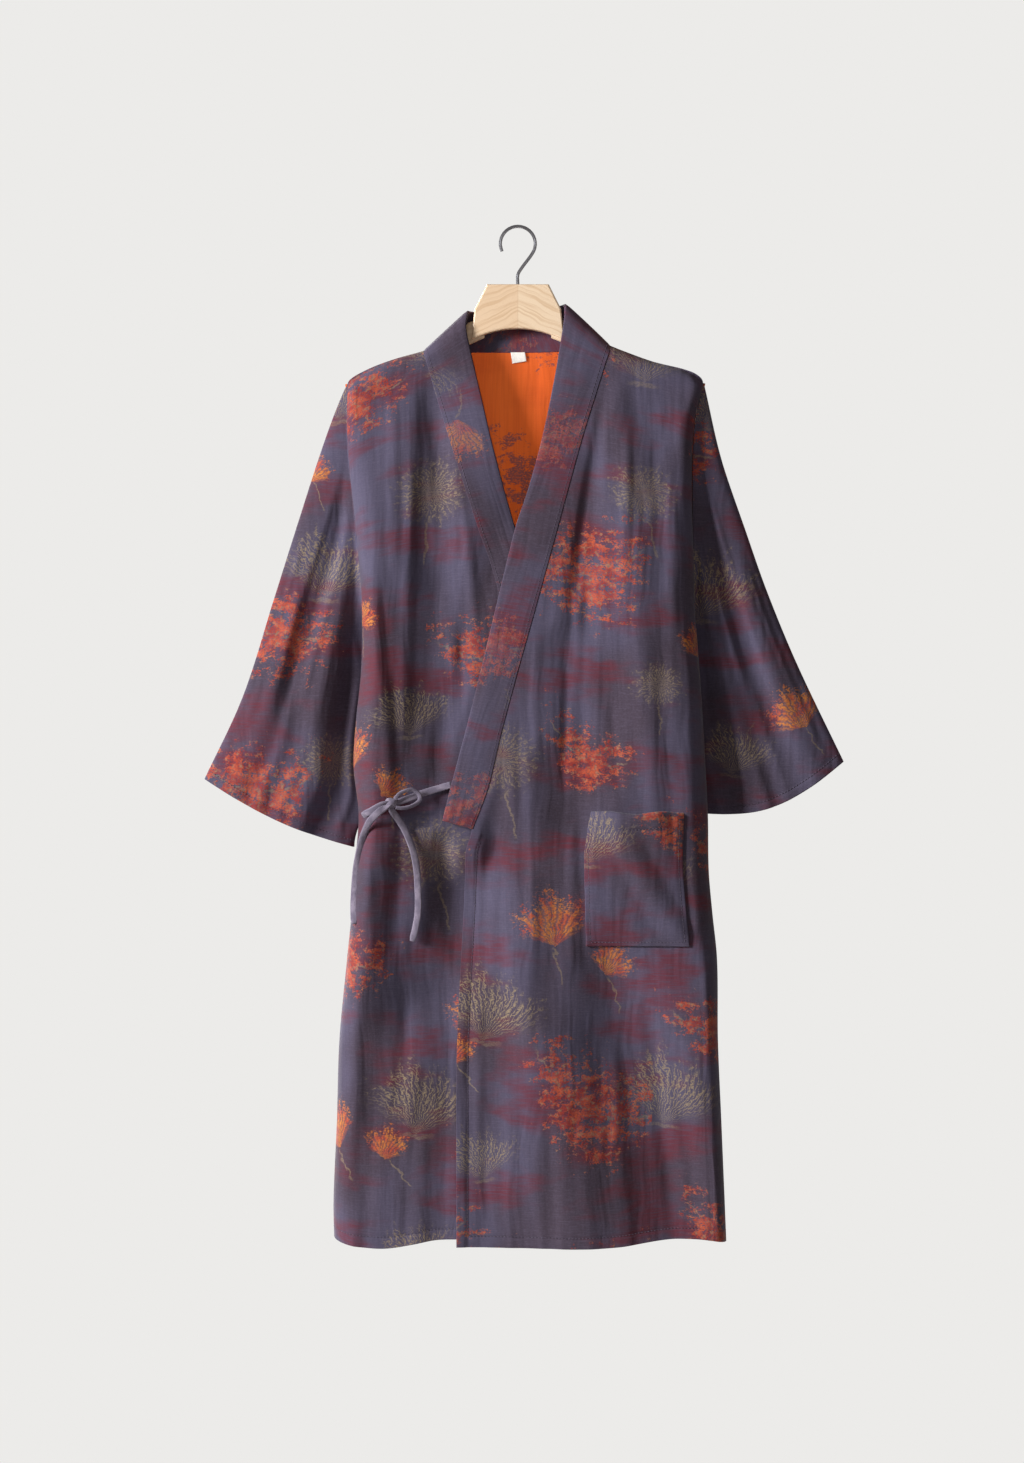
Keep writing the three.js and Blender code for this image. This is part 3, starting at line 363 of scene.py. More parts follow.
def folds_at(rows, x, z):
    """The sum of the folds that cross each place."""
    total = np.zeros(np.broadcast(x, z).shape)
    for x1, z1, x2, z2, w1, w2, deep in zip(*rows.values()):
        t = (z1 - z) / (z1 - z2)
        total += deep * rise_and_fade(t) * bump(x - mix(x1, x2, t), np.maximum(mix(w1, w2, t), 1))
    return total


def over_edge(z):
    low = mix(-62, FRONT_EDGE["over"], ease((COLLAR_END["over"] - z) / SETTLE))
    return np.where(z > COLLAR_END["over"], read(COLLAR_OVER, "ez", "ex", z), low)


def over_seam(z):
    return read(COLLAR_OVER, "sz", "sx", z)


def calm(x, z):
    """0 beneath the flat collar, where folds die out so that the layers stay nested."""
    off = np.maximum(np.maximum(over_edge(z) - x, x - over_seam(z)), 0)
    return mix(ease((off - 6) / 26), 1, ease((COLLAR_END["over"] - 20 - z) / 60))


def sink(x, z):
    """How far the under layer sinks where the over layer covers it."""
    return UNDERLAP * ease((x - over_edge(z) + 55) / 45)


def side_roll(face, side, z):
    """Where the flat of a wall ends, the cloth's length round its side roll, and the roll's width."""
    full = read(DEPTHS, "z", face, z)
    top = np.where(np.asarray(side) < 0, ARMHOLE_TOP[RIGHT], ARMHOLE_TOP[LEFT])
    roll = mix(ROLL["tip"], ROLL[face], ease((top - z) / ROLL["drop"]))
    return half_width(side, z) - roll, math.pi / 2 * np.sqrt((roll**2 + full**2) / 2), roll


def body_point(face, a, z, lay=0.0):
    """Points of the body's outer skin, across the cloth by a from the middle and at height z."""
    side = np.where(a < 0, RIGHT, LEFT)
    flat, arc, roll = side_roll(face, side, z)
    turn = np.clip((np.abs(a) - flat) / arc, 0, 1) * (math.pi / 2)
    x = side * (np.minimum(np.abs(a), flat) + roll * np.sin(turn))
    near = ease((ridge(x) - z) / 60)
    if face == "front":
        folds = (folds_at(FRONT_FOLDS, x, z) + folds_at(FRONT_CREASES, x, z)) * calm(x, z)
    else:
        folds = folds_at(BACK_FOLDS, x, z) + folds_at(BACK_CREASES, x, z)
    out = (depth(face, x, z) + folds * near - lay) * np.cos(turn)
    y = np.maximum(out, SEAM / 2)
    return np.stack([x, y if face == "back" else -y, z + 0 * x], -1)


def reach(face, side, z):
    """The cloth's length from the middle to its edge."""
    flat, arc, _ = side_roll(face, side, z)
    if face == "front":
        return flat + arc
    top = ARMHOLE_TOP[side]
    t = np.clip((top - z) / (top - UNDERARM), 0, 1)
    share = 1 - SLEEVE["turn"] * np.sin(math.pi * t) ** 0.45
    return flat + arc * np.where(z <= UNDERARM, 1, share)


def over_x(z):
    """X of the left front's inner edge: the collar's seam, and below it the free edge."""
    below = mix(over_seam(z), over_edge(z), ease((COLLAR_END["over"] - z) / 30))
    return np.where(z >= COLLAR_END["over"], over_seam(z), below)


def under_x(z):
    seam = read(COLLAR_UNDER, "sz", "sx", z)
    below = mix(seam, FRONT_EDGE["under"], ease((COLLAR_END["under"] - z) / SETTLE))
    return np.where(z >= COLLAR_END["under"], seam, below)


def inner_x(side, z):
    return over_x(z) if side == LEFT else under_x(z)


def front_point(side, u, z_inner):
    """Points of one front at share u of its cloth, from the inner edge out, in the row of that height."""
    column = LAYER[side]
    neck_x, neck_z = NECK[side]
    tip = half_width(side, ARMHOLE_TOP[side]) * side
    v = (neck_z - z_inner) / (neck_z - HEM[column])
    shoulder = ridge(mix(neck_x, tip, u)) - neck_z
    x_hem = mix(FRONT_EDGE[column], side * half_width(side, HEM[column]), u)
    z = z_inner + shoulder * (1 - v) ** 3 + read(HEMLINE, "x", column, x_hem) * v**8
    a = mix(inner_x(side, z_inner), side * reach("front", side, z), u)
    lay = 0.0 if side == LEFT else sink(a, z)
    return body_point("front", a, z, lay), np.stack([a, z_inner + 0 * a], -1)


def back_top(x):
    """The back's upper edge: the shoulder line outside the neck, and the neck seam between."""
    neck_x = np.where(x < 0, NECK[RIGHT][0], NECK[LEFT][0])
    neck_z = np.where(x < 0, NECK[RIGHT][1], NECK[LEFT][1])
    inside = mix(NECK["back"], neck_z, (x / neck_x) ** 2)
    return np.where((x <= NECK[RIGHT][0]) | (x >= NECK[LEFT][0]), ridge(x), inside)


def back_point(n, drop):
    """Points of the back at share n from side to side, at a drop below its upper edge."""
    right = n < 0
    x_top = n * np.where(right, *(half_width(side, ARMHOLE_TOP[side]) for side in (RIGHT, LEFT)))
    v = drop / (NECK["back"] - HEM["back"])
    z_inner = NECK["back"] - drop
    z = z_inner + (back_top(x_top) - NECK["back"]) * (1 - v) ** 3
    z = z + read(HEMLINE, "x", "back", x_top) * v**8
    wide = np.where(right, *(reach("back", side, z) for side in (RIGHT, LEFT)))
    a = mix(x_top, n * wide, ease(drop / 40))
    a = np.where(np.abs(n) > 0.9999, n * wide, a)
    return body_point("back", a, z), np.stack([n * wide, z_inner], -1)


BACK_DROPS = np.concatenate([[0, 1.5, 5, 11, 22, 40], np.linspace(45, NECK["back"] - HEM["back"], 200)])
BACK_EDGE = {
    side: back_point(np.full(len(BACK_DROPS), float(side)), BACK_DROPS)[0][::-1] for side in (RIGHT, LEFT)
}


def armhole_gap(z):
    """The gap between body and sleeve, which all but closes at the underarm, where the wall is thin."""
    return ARMHOLE_GAP * (1 - 0.85 * ease((UNDERARM + 50 - z) / 22))


def sleeve_point(side, share, v):
    """Points of a loop round one sleeve, from the outer fold over the front, at share v of its length."""
    angle, fold = share * 2 * math.pi, SLEEVE_FOLD[side]
    flare = ease(v / SLEEVE["flare"])
    z_inner = mix(UNDERARM, CUFF[side]["z"], v)
    tucked = half_width(side, z_inner) - SLEEVE["tuck"] * flare**2
    inner_x = mix(tucked, CUFF[side]["x"], ease((v - 0.8) / 0.2))
    outer_x, outer_z = (read(fold, "v", column, v) for column in "xz")
    s = (1 - np.cos(angle)) / 2
    bulge = fuller(np.sin(angle), 0.75)
    crease = 0 * s
    for rows in (SLEEVE_CREASES[side], SLEEVE_RIPPLES[side]):
        for s1, v1, s2, v2, w1, w2, deep in zip(*rows.values()):
            t = (v - v1) / (v2 - v1)
            dent = bump(s - mix(s1, s2, t), mix(w1, w2, np.clip(t, 0, 1)))
            crease = crease + deep * rise_and_fade(t) * dent
    hang = np.stack(
        [
            side * mix(outer_x, inner_x, s),
            mix(SLEEVE["foldY"], SLEEVE["innerY"], s) - bulge * (SLEEVE["half"] + crease),
            mix(outer_z, z_inner, s) - CUFF[side]["sag"] * np.sin(math.pi * s) * v**4,
        ],
        -1,
    )
    z = mix(ARMHOLE_TOP[side], UNDERARM, s)
    edge = BACK_EDGE[side]
    back = np.stack([*(np.interp(z, edge[:, 2], edge[:, k]) for k in (0, 1)), z], -1)
    off = ARMHOLE_GAP + 2.6 * ease((s - 0.75) / 0.2) * ease((1 - s) / 0.12)
    back = back + np.stack([side * off, ARMHOLE_GAP + 0 * s, 0 * s], -1)
    front = np.stack([side * (half_width(side, z) + armhole_gap(z)), 0 * z + SEAM / 2, z], -1)
    over_front = (share < 0.5) | (s < 1e-9) | (s > 1 - 1e-9)
    hole = np.where(over_front[:, None], front, back)
    points = mix(hole, hang, flare[:, None])
    gap = armhole_gap(points[:, 2])
    limit = half_width(side, points[:, 2]) + gap + np.where(points[:, 1] < 0, gap / 2, 0)
    beside = (points[:, 1] < 2) & (side * points[:, 0] < limit)
    points[:, 0] = np.where(beside, side * limit, points[:, 0])
    return points, points[:, [0, 2]]


def collar_stations():
    """The collar's seam points and folded edge points, from the left front's lower end to the right's."""
    seams, edges = [], []
    for side, rows, top in ((LEFT, COLLAR_OVER, NECK[LEFT][1]), (RIGHT, COLLAR_UNDER, NECK[RIGHT][1])):
        low = rows["sz"].min()
        z = np.concatenate([np.linspace(low, top - 42, 130), np.linspace(top - 40, top, 16)])
        if side == RIGHT:
            z = z[::-1]
        seam = front_point(side, np.zeros(len(z)), z)[0]
        ex, ez = (read(rows, "sz", column, z) for column in ("ex", "ez"))
        out = np.maximum(depth("front", ex, ez), read(rows, "sz", "least", z))
        lay = 0.0 if side == LEFT else sink(ex, ez)
        edge = np.stack([ex, lay - out, ez], -1)
        if side == RIGHT:
            x = np.linspace(NECK[LEFT][0] - 2, NECK[RIGHT][0] + 2, 60)
            seams.append(body_point("back", x, back_top(x)))
            edges.append(np.stack([read(COLLAR_BACK, "sx", c, x) for c in ("ex", "ey", "ez")], -1))
        seams.append(seam)
        edges.append(edge)
    return np.concatenate(seams), np.concatenate(edges)


def collar_surface():
    """The collar band's outer skin, as a function of station and share across it, and its stations' count."""
    seams, edges = collar_stations()
    under = seams[:, 0] < NECK[RIGHT][0] + 2
    under[np.argmax(under):] = True
    along = run_along((seams + edges) / 2)
    out = np.cross(np.gradient(seams + edges, axis=0), edges - seams)
    out /= np.linalg.norm(out, axis=1)[:, None]

    def place(k, t):
        k = k.astype(int)
        s = along[k]
        puff = 0.5 + 0.8 * crown(t) ** 0.5 - 0.5 * ease((t - 0.9) / 0.1)
        wave = 0.5 * np.sin(s / 17 + 3 * np.sin(s / 61)) * np.sin(s / 43 + 1) * crown(t)
        points = mix(seams[k], edges[k], t[:, None]) + out[k] * (puff + wave)[:, None]
        x, z = points[:, 0], points[:, 2]
        nested = body_point("front", x, z, sink(x, z))[:, 1] - 0.8 * puff
        points[:, 1] = mix(points[:, 1], nested, under[k] * ease((-330 - z) / 60))
        return points, np.stack([t * 48, s], -1)

    return place, len(seams)


def pocket_point(t, w):
    """Points of the pocket's outer skin, at share t from its left side and w up from its foot."""
    left, right, top, bottom = (POCKET[key] for key in ("left", "right", "top", "bottom"))
    middle = (top + bottom) / 2
    inner = over_x(np.array(middle))
    across = (np.array([left, right]) - inner) / (reach("front", LEFT, middle) - inner)
    points, cloth = front_point(LEFT, mix(across[0], across[1], t), mix(bottom, top, w))
    wide, high = right - left, top - bottom
    rim = np.minimum(np.minimum(t, 1 - t) * wide, w * high)
    gape = POCKET["gape"] * w**1.5 * crown(t) ** 0.8
    fold = 4.5 * bump(t - mix(0.25, 0.95, 1 - w), 0.22) * ease(w / 0.15) * ease((1 - w) / 0.3)
    hem = 0.5 * ease((high * (w - 1) + MOUTH_HEM + 2) / 3) - 0.6 * bump(high * (1 - w) - MOUTH_HEM, PRESS)
    points[:, 1] -= POCKET["ahead"] + gape + fold + 0.9 * ease(rim / 6) - 0.6 * bump(rim - 5, PRESS) + hem
    points[:, 1] += 3.4 * ease((high * (w - 1) + 4.5) / 4.5) ** 2
    points[:, 2] += 2.2 * w**4 * np.sin(9 * t + 0.6) * crown(t)
    return points, cloth


def ahead(route):
    """Points of a tie's route, ahead of the right front's outer skin."""
    x, z, off = np.array(route, float).T
    points = body_point("front", x, z, sink(x, z))
    points[:, 1] -= off
    return points


def smooth_route(points, count):
    """A smooth curve through points, at even steps."""
    last = len(points) - 1
    t = np.linspace(0, last, 24 * last + 1)
    keys = np.arange(last + 1.0)
    rows = {"t": keys, "x": points[:, 0], "y": points[:, 1], "z": points[:, 2]}
    dense = np.stack([read(rows, "t", column, t) for column in "xyz"], -1)
    along = run_along(dense)
    return at_lengths(dense, along, np.linspace(0, along[-1], count)), along[-1]


# Making meshes


def keep(bm, name, *materials):
    """Turns a bmesh into a piece of the robe that rides with it."""
    mesh = bpy.data.meshes.new(name)
    for face in bm.faces:
        face.smooth = True
    bm.to_mesh(mesh)
    bm.free()
    piece = bpy.data.objects.new(name, mesh)
    bpy.context.scene.collection.objects.link(piece)
    for material in materials:
        mesh.materials.append(material)
    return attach(piece, "root")


def sheet(u, v, place, flip=False, tube=False):
    """A sheet of cloth with a line at each value of u and v. Its UV map is the flat cloth, in metres."""
    bm = bmesh.new()
    flat_map = bm.loops.layers.uv.new("flat")
    bmesh.ops.create_grid(bm, x_segments=len(u) - 1, y_segments=len(v) - 1, size=0.5)
    corners = np.array([vert.co for vert in bm.verts]) + 0.5
    i = np.rint(corners[:, 0] * (len(u) - 1)).astype(int)
    j = np.rint(corners[:, 1] * (len(v) - 1)).astype(int)
    points, flat = place(np.asarray(u, float)[i], np.asarray(v, float)[j])
    bm.verts.index_update()
    for vert, point in zip(bm.verts, points * MM):
        vert.co = point
    for face in bm.faces:
        for corner in face.loops:
            corner[flat_map].uv = flat[corner.vert.index] * MM
    if tube:
        bmesh.ops.remove_doubles(bm, verts=bm.verts, dist=1e-6)
    if flip:
        bmesh.ops.reverse_faces(bm, faces=bm.faces)
    return bm


def thicken(piece, thick, lined=True):
    """Gives a sheet its wall, behind its outer skin. The inner side takes the second material."""
    wall = piece.modifiers.new("wall", "SOLIDIFY")
    wall.thickness = thick * MM
    wall.offset = -1
    wall.material_offset = 1 if lined else 0
    return piece


def ribbon(points, wide, thick, twist=None, taper=0.0):
    """A flat band with rounded edges along points, its width across the front, closed at both ends."""
    count, around = len(points), 16
    tangent = np.gradient(points, axis=0)
    tangent /= np.linalg.norm(tangent, axis=1)[:, None]
    front = np.array([0, -1.0, 0])
    ahead_of = front - tangent * (tangent @ front)[:, None]
    ahead_of /= np.linalg.norm(ahead_of, axis=1)[:, None]
    across = np.cross(tangent, ahead_of)
    turn = np.zeros(count) if twist is None else np.radians(twist)
    face = ahead_of * np.cos(turn)[:, None] + across * np.sin(turn)[:, None]
    wing = across * np.cos(turn)[:, None] - ahead_of * np.sin(turn)[:, None]
    length = run_along(points)
    narrow = 1 - taper * (1 - ease((length[-1] - length) / 6))

    def place(k, share):
        k = k.astype(int)
        angle = share * 2 * math.pi
        w = fuller(np.cos(angle), 0.6) * wide / 2 * narrow[k]
        t = fuller(np.sin(angle), 0.9) * thick / 2
        spot = points[k] + wing[k] * w[:, None] + face[k] * t[:, None]
        return spot, np.stack([share * 2 * wide, length[k]], -1)

    bm = sheet(np.arange(count), np.linspace(0, 1, around + 1), place, tube=True)
    rims = [edge for edge in bm.edges if edge.is_boundary]
    bmesh.ops.holes_fill(bm, edges=rims, sides=0)
    bmesh.ops.recalc_face_normals(bm, faces=bm.faces)
    return bm


def stitches(bm, points, long=2.6, gap=1.5, thick=0.5):
    """Adds a dash of thread at even steps along a line of points."""
    along = run_along(points)
    start = np.arange(gap, along[-1] - long, long + gap)
    for a, b in zip(*(at_lengths(points, along, place) for place in (start, start + long))):
        middle, run = Vector((a + b) / 2), Vector(b - a)
        turn = run.to_track_quat("Z", "Y").to_matrix().to_4x4()
        size = Matrix.Diagonal((thick, thick, run.length, 1))
        place = Matrix.Scale(MM, 4) @ Matrix.Translation(middle) @ turn @ size
        bmesh.ops.create_cube(bm, size=1.0, matrix=place)


# Finishes


class Field:
    """A value that changes over a surface, as a socket that takes Python arithmetic."""

    def __init__(self, finish, socket):
        self.finish, self.socket = finish, socket

    def __add__(self, other):
        return self.finish.math("ADD", self, other)

    def __sub__(self, other):
        return self.finish.math("SUBTRACT", self, other)

    def __rsub__(self, other):
        return self.finish.math("SUBTRACT", other, self)

    def __mul__(self, other):
        return self.finish.math("MULTIPLY", self, other)

    def __truediv__(self, other):
        return self.finish.math("DIVIDE", self, other)

    def __abs__(self):
        return self.finish.math("ABSOLUTE", self)

    __radd__, __rmul__ = __add__, __mul__


class Finish:
    """A node material on one Principled shader, whose constants sit on the shader's own sockets."""

    def __init__(self, name, constants):
        self.material = bpy.data.materials.new(name)
        self.material.use_nodes = True
        self.tree = self.material.node_tree
        self.tree.nodes.clear()
        output = self.tree.nodes.new("ShaderNodeOutputMaterial")
        self.shader = self.tree.nodes.new("ShaderNodeBsdfPrincipled")
        self.tree.links.new(self.shader.outputs[0], output.inputs[0])
        for key, value in constants.items():
            self.shader.inputs[key].default_value = value

    def node(self, kind, settings=None, inputs=None, output=0):
        """Any node: its kind, its settings and the values or links of its sockets."""
        node = self.tree.nodes.new(kind)
        for key, value in (settings or {}).items():
            setattr(node, key, value)
        for key, value in (inputs or {}).items():
            self.set(node.inputs[key], value)
        return Field(self, node.outputs[output])

    def set(self, socket, value):
        if isinstance(value, Field):
            self.tree.links.new(value.socket, socket)
        else:
            socket.default_value = value

    def math(self, operation, *values):
        return self.node("ShaderNodeMath", {"operation": operation}, dict(enumerate(values)))

    def step(self, value, low, high, start=0.0, end=1.0):
        """Goes smoothly from start to end as a value goes from low to high."""
        inputs = {"Value": value, "From Min": low, "From Max": high, "To Min": start, "To Max": end}
        return self.node("ShaderNodeMapRange", {"interpolation_type": "SMOOTHSTEP"}, inputs)

    def colour(self, share, a, b):
        """Goes from colour a to colour b."""
        return self.node("ShaderNodeMix", {"data_type": "RGBA"}, {0: share, 6: a, 7: b}, output=2)

    def vector(self, x, y, z=0.0):
        return self.node("ShaderNodeCombineXYZ", None, {0: x, 1: y, 2: z})

    def noise(self, x, y, z=0.0, detail=2.0, rough=0.5):
        inputs = {"Vector": self.vector(x, y, z), "Scale": 1.0, "Detail": detail, "Roughness": rough}
        return self.node("ShaderNodeTexNoise", None, inputs)

    def split(self, field):
        first = self.node("ShaderNodeSeparateXYZ", None, {0: field})
        return [Field(self, socket) for socket in first.socket.node.outputs]

    def flat(self):
        """The place on the flat cloth, in metres."""
        return self.split(self.node("ShaderNodeUVMap", {"uv_map": "flat"}))[:2]

    def place(self):
        return self.split(self.node("ShaderNodeTexCoord", None, None, output="Object"))

    def finish(self, colour=None, rough=None, height=None):
        """Links what changes over the surface. Height is in metres."""
        if colour is not None:
            self.set(self.shader.inputs["Base Color"], colour)
        if rough is not None:
            self.set(self.shader.inputs["Roughness"], rough)
        if height is not None:
            inputs = {"Height": height, "Distance": 1.0, "Strength": 1.0}
            self.set(self.shader.inputs["Normal"], self.node("ShaderNodeBump", None, inputs))
        return self.material


def linear(rgb, alpha=1.0):
    """A colour of 0 to 255 as the shader's linear values."""
    share = [value / 255 for value in rgb]
    return (*[s / 12.92 if s <= 0.04045 else ((s + 0.055) / 1.055) ** 2.4 for s in share], alpha)


class Motifs:
    """The woven pattern: sprays, fan leaves, grass tufts and seed heads, strewn on a half-drop layout."""

    def __init__(self, finish, shift):
        f = self.f = finish
        u, v = f.flat()
        u, v = u + shift[0], v + shift[1]
        self.u, self.v = u, v
        warp = f.noise(u * 60, v * 60, detail=2.0, rough=0.6) - 0.5
        self.fray = f.noise(u * 380, v * 520, detail=1.0, rough=0.7)
        self.leaf = f.noise(u * 150, v * 170, 2.0, detail=2.0, rough=0.6)
        self.warm = f.noise(u * 55, v * 75, 3.0, detail=2.0)
        x, y, pick = self.cell(u + warp * 0.014, v + warp * 0.011, 1.0, 0.35)
        x2, y2, pick2 = self.cell(u + warp * 0.014 + REPEAT[0] / 2, v + warp * 0.012 + 0.06, 5.0, 0.2)
        choose, choose2 = f.step(pick, 0.66, 0.67), f.step(pick2, 0.62, 0.63)
        spray, twig = self.spray(x, y)
        fan, stalk = self.fan(x, y)
        tuft, head = self.tuft(x2, y2), self.seed_head(x2, y2)
        thread = f.step(self.fray, 0.3, 0.62, 0.45, 1.0)
        self.red = spray * (1 - choose) * thread
        self.amber = fan * choose * thread
        lines = f.math("MAXIMUM", tuft * (1 - choose2), head * choose2)
        stems = f.math("MAXIMUM", twig * (1 - choose), stalk * choose)
        lines = f.math("MAXIMUM", lines, stems * 0.6)
        self.khaki = lines * f.step(self.fray, 0.3, 0.58, 0.3, 1.0)
        mist = f.noise(u * 8, v * 18, 8.0, detail=3.0, rough=0.62)
        lines = f.noise(u * 50, v * 520, 9.0, detail=1.0)
        self.mist = f.step(mist, 0.47, 0.65) * f.step(lines, 0.3, 0.6, 0.5, 1.0)

    def cell(self, u, v, seed, lean):
        """Local coordinates in one cell of a half-drop layout, shifted, turned and sized by chance."""
        f, (wide, high) = self.f, REPEAT
        column = f.math("FLOOR", u / wide)
        rise = v / high + column * 0.5
        row = f.math("FLOOR", rise)
        place = {"Vector": f.vector(column, row, seed)}
        a, b, c = f.split(f.node("ShaderNodeTexWhiteNoise", {"noise_dimensions": "3D"}, place, output=1))
        grow = f.math("FRACT", b * 5.3) * 0.55 + 0.82
        x = ((u / wide - column - 0.5) * wide - (a - 0.5) * 0.045) / grow
        y = ((rise - row - 0.5) * high - (b - 0.5) * 0.06) / grow
        turn = (f.math("FRACT", a * 7.13) - 0.5) * (2 * lean)
        cos, sin = f.math("COSINE", turn), f.math("SINE", turn)
        return x * cos - y * sin, x * sin + y * cos, c

    def spray(self, x, y):
        """Loose clumps of small leaves along a bent twig."""
        f = self.f
        clumps = f.noise(self.u * 46, self.v * 70, 11.0, detail=3.0, rough=0.6)
        bend = y + 0.006 - x * x * 7 + x * 0.25
        far = (x / 0.062) * (x / 0.062) + (bend / 0.042) * (bend / 0.042)
        field = (clumps - 0.5) * 4.4 + (self.leaf - 0.5) * 1.8 + (self.fray - 0.5) * 1.6 + (1 - far) * 0.75
        mask = f.step(field, 0.1, 0.75)
        twig = f.step(abs(bend + (clumps - 0.5) * 0.012), 0.0019, 0.0007) * f.step(abs(x), 0.062, 0.05)
        return mask, twig * (1 - mask)

    def fan(self, x, y):
        """Two ragged fan-shaped leaves on thin stalks, with fine ribs."""
        f = self.f
        masks, stalks = [], []
        for dx, dy, size, lean in ((-0.014, -0.012, 0.046, 0.25), (0.03, -0.034, 0.03, -0.5)):
            px, py = x - dx, y - dy
            r = f.math("SQRT", px * px + py * py)
            theta = f.math("ARCTAN2", px, py) + lean
            lobes = f.math("COSINE", theta * 9) * 0.08 + f.math("COSINE", theta * 2) * 0.14 + 0.76
            lobes = lobes + (self.leaf - 0.5) * 1.1 + (self.fray - 0.5) * 0.7
            body = f.step(r / size - lobes, 0.12, -0.16) * f.step(abs(theta), 1.25, 0.9)
            ribs = f.step(f.math("SINE", theta * 31 + self.leaf * 9), -0.8, 0.1, 0.35, 1.0)
            masks.append(body * ribs)
            line = abs(px + py * 0.35 + lean * 0.01)
            span = f.step(py, 0.0, -0.003) * f.step(py, -0.034, -0.03)
            stalks.append(f.step(line, 0.0013, 0.0004) * span)
        return f.math("MAXIMUM", *masks), f.math("MAXIMUM", *stalks)

    def tuft(self, x, y):
        """A feathery tuft of fine blades that spread from one foot."""
        f = self.f
        py = y + 0.036
        r = f.math("SQRT", x * x + py * py)
        theta = f.math("ARCTAN2", x, py)
        sway = theta * 24 + f.math("SINE", r * 120) * 0.8 + (self.leaf - 0.5) * 6
        blades = f.step(abs(f.math("SINE", sway)), 0.62, 0.2)
        side = abs(f.math("SINE", theta * 47 + r * 420 + self.leaf * 3))
        side = f.step(side, 0.55, 0.15) * f.step(r, 0.014, 0.03)
        tips = f.noise(theta * 4, r * 8, detail=1.0) * 0.07 + 0.03
        span = f.step(r - tips + (self.leaf - 0.5) * 0.05, 0.008, -0.014) * f.step(abs(theta), 1.3, 0.7)
        root = f.step(abs(y + 0.038), 0.003, 0.001) * f.step(abs(x), 0.022, 0.006)
        return f.math("MAXIMUM", f.math("MAXIMUM", blades, side * 0.8) * span, root * 0.4)

    def seed_head(self, x, y):
        """A round seed head of fine uneven rays on a stem."""
        f = self.f
        py = y - 0.016
        r = f.math("SQRT", x * x + py * py * 1.3)
        theta = f.math("ARCTAN2", x, py)
        rays = f.step(abs(f.math("SINE", theta * 17 + (self.leaf - 0.5) * 9)), 0.8, 0.3, 0.2, 1.0)
        ball = f.step(r + (self.leaf - 0.5) * 0.06, 0.04, 0.018) * rays
        span = f.step(y, -0.012, -0.016) * f.step(y, -0.058, -0.054)
        stem = f.step(abs(x + y * 0.12), 0.0016, 0.0006) * span
        return f.math("MAXIMUM", ball * 0.8, stem * 0.5)


def weave_height(f, u, v, raised=None, crinkle=1.0):
    """The relief of the gauze: soft crinkles, slubs and threads, in metres."""
    wander = f.noise(u * 22, v * 9, 4.0, detail=1.0) - 0.5
    crinkles = f.noise(u * 84 + wander * 2.2, v * 10, 1.0, detail=1.5, rough=0.45)
    slubs = f.noise(u * 60, v * 620, 2.0, detail=2.0)
    height = (crinkles - 0.5) * (0.0015 * crinkle) + slubs * 0.00014
    if raised is not None:
        height = height + raised * 0.00015
    return height


def gauze(name, sheen):
    constants = {"Roughness": 0.88, "Sheen Weight": sheen, "Sheen Roughness": 0.5, "Specular IOR Level": 0.2}
    return Finish(name, constants)


def robe_cloth(name, colours, shift, plain=0.0):
    """The face of the double-woven gauze: a dusky ground with the pattern's coloured threads."""
    f = gauze(name, 0.12)
    m = Motifs(f, shift)
    u, v = m.u, m.v
    tone = f.noise(u * 9, v * 6, 2.0, detail=2.0)
    ground = f.colour(f.step(tone, 0.36, 0.6), colours["ground"], colours["ground_cool"])
    streak = f.noise(u * 420, v * 30, 5.0, detail=2.0)
    ground = f.colour(f.step(streak, 0.35, 0.7) * 0.16, ground, colours["ground_dark"])
    cross = f.noise(u * 60, v * 700, 7.0, detail=1.0)
    ground = f.colour(f.step(cross, 0.45, 0.75) * 0.14, ground, colours["ground_light"])
    ground = f.colour(f.step(m.fray, 0.4, 0.7) * 0.12, ground, colours["ground_light"])
    colour = f.colour(m.mist * 0.72, ground, colours["wine"])
    colour = f.colour(m.khaki * (0.82 - 0.45 * plain), colour, colours["khaki"])
    leaf = f.colour(f.step(m.warm, 0.4, 0.62), colours["red_leaf"], colours["orange_leaf"])
    leaf = f.colour(f.step(m.leaf, 0.5, 0.7) * 0.6, leaf, colours["khaki"])
    colour = f.colour(m.red * (0.88 - 0.5 * plain), colour, leaf)
    gold = f.colour(f.step(m.warm, 0.36, 0.6), colours["orange_leaf"], colours["amber"])
    gold = f.colour(f.step(m.leaf, 0.5, 0.72) * 0.4, gold, colours["red_leaf"])
    colour = f.colour(m.amber * (0.88 - 0.45 * plain), colour, gold)
    raised = f.math("MAXIMUM", m.red, m.amber)
    return f.finish(colour, height=weave_height(f, u, v, raised))


def reverse_cloth(name, colours, shift):
    """The reverse of the same cloth, where the ground and the pattern's colours change places."""
    f = gauze(name, 0.1)
    m = Motifs(f, shift)
    u, v = m.u, m.v
    tone = f.noise(u * 12, v * 4, 2.0, detail=2.0)
    ground = f.colour(f.step(tone, 0.35, 0.65), colours["lining"], colours["lining_light"])
    streak = f.noise(u * 420, v * 12, 5.0, detail=2.0)
    ground = f.colour(f.step(streak, 0.35, 0.7) * 0.25, ground, colours["lining_dark"])
    motif = f.math("MAXIMUM", m.red, m.amber)
    colour = f.colour(m.mist * 0.25, ground, colours["lining_dark"])
    colour = f.colour(motif * 0.8, colour, colours["ground"])
    return f.finish(colour, height=weave_height(f, u, v, motif))


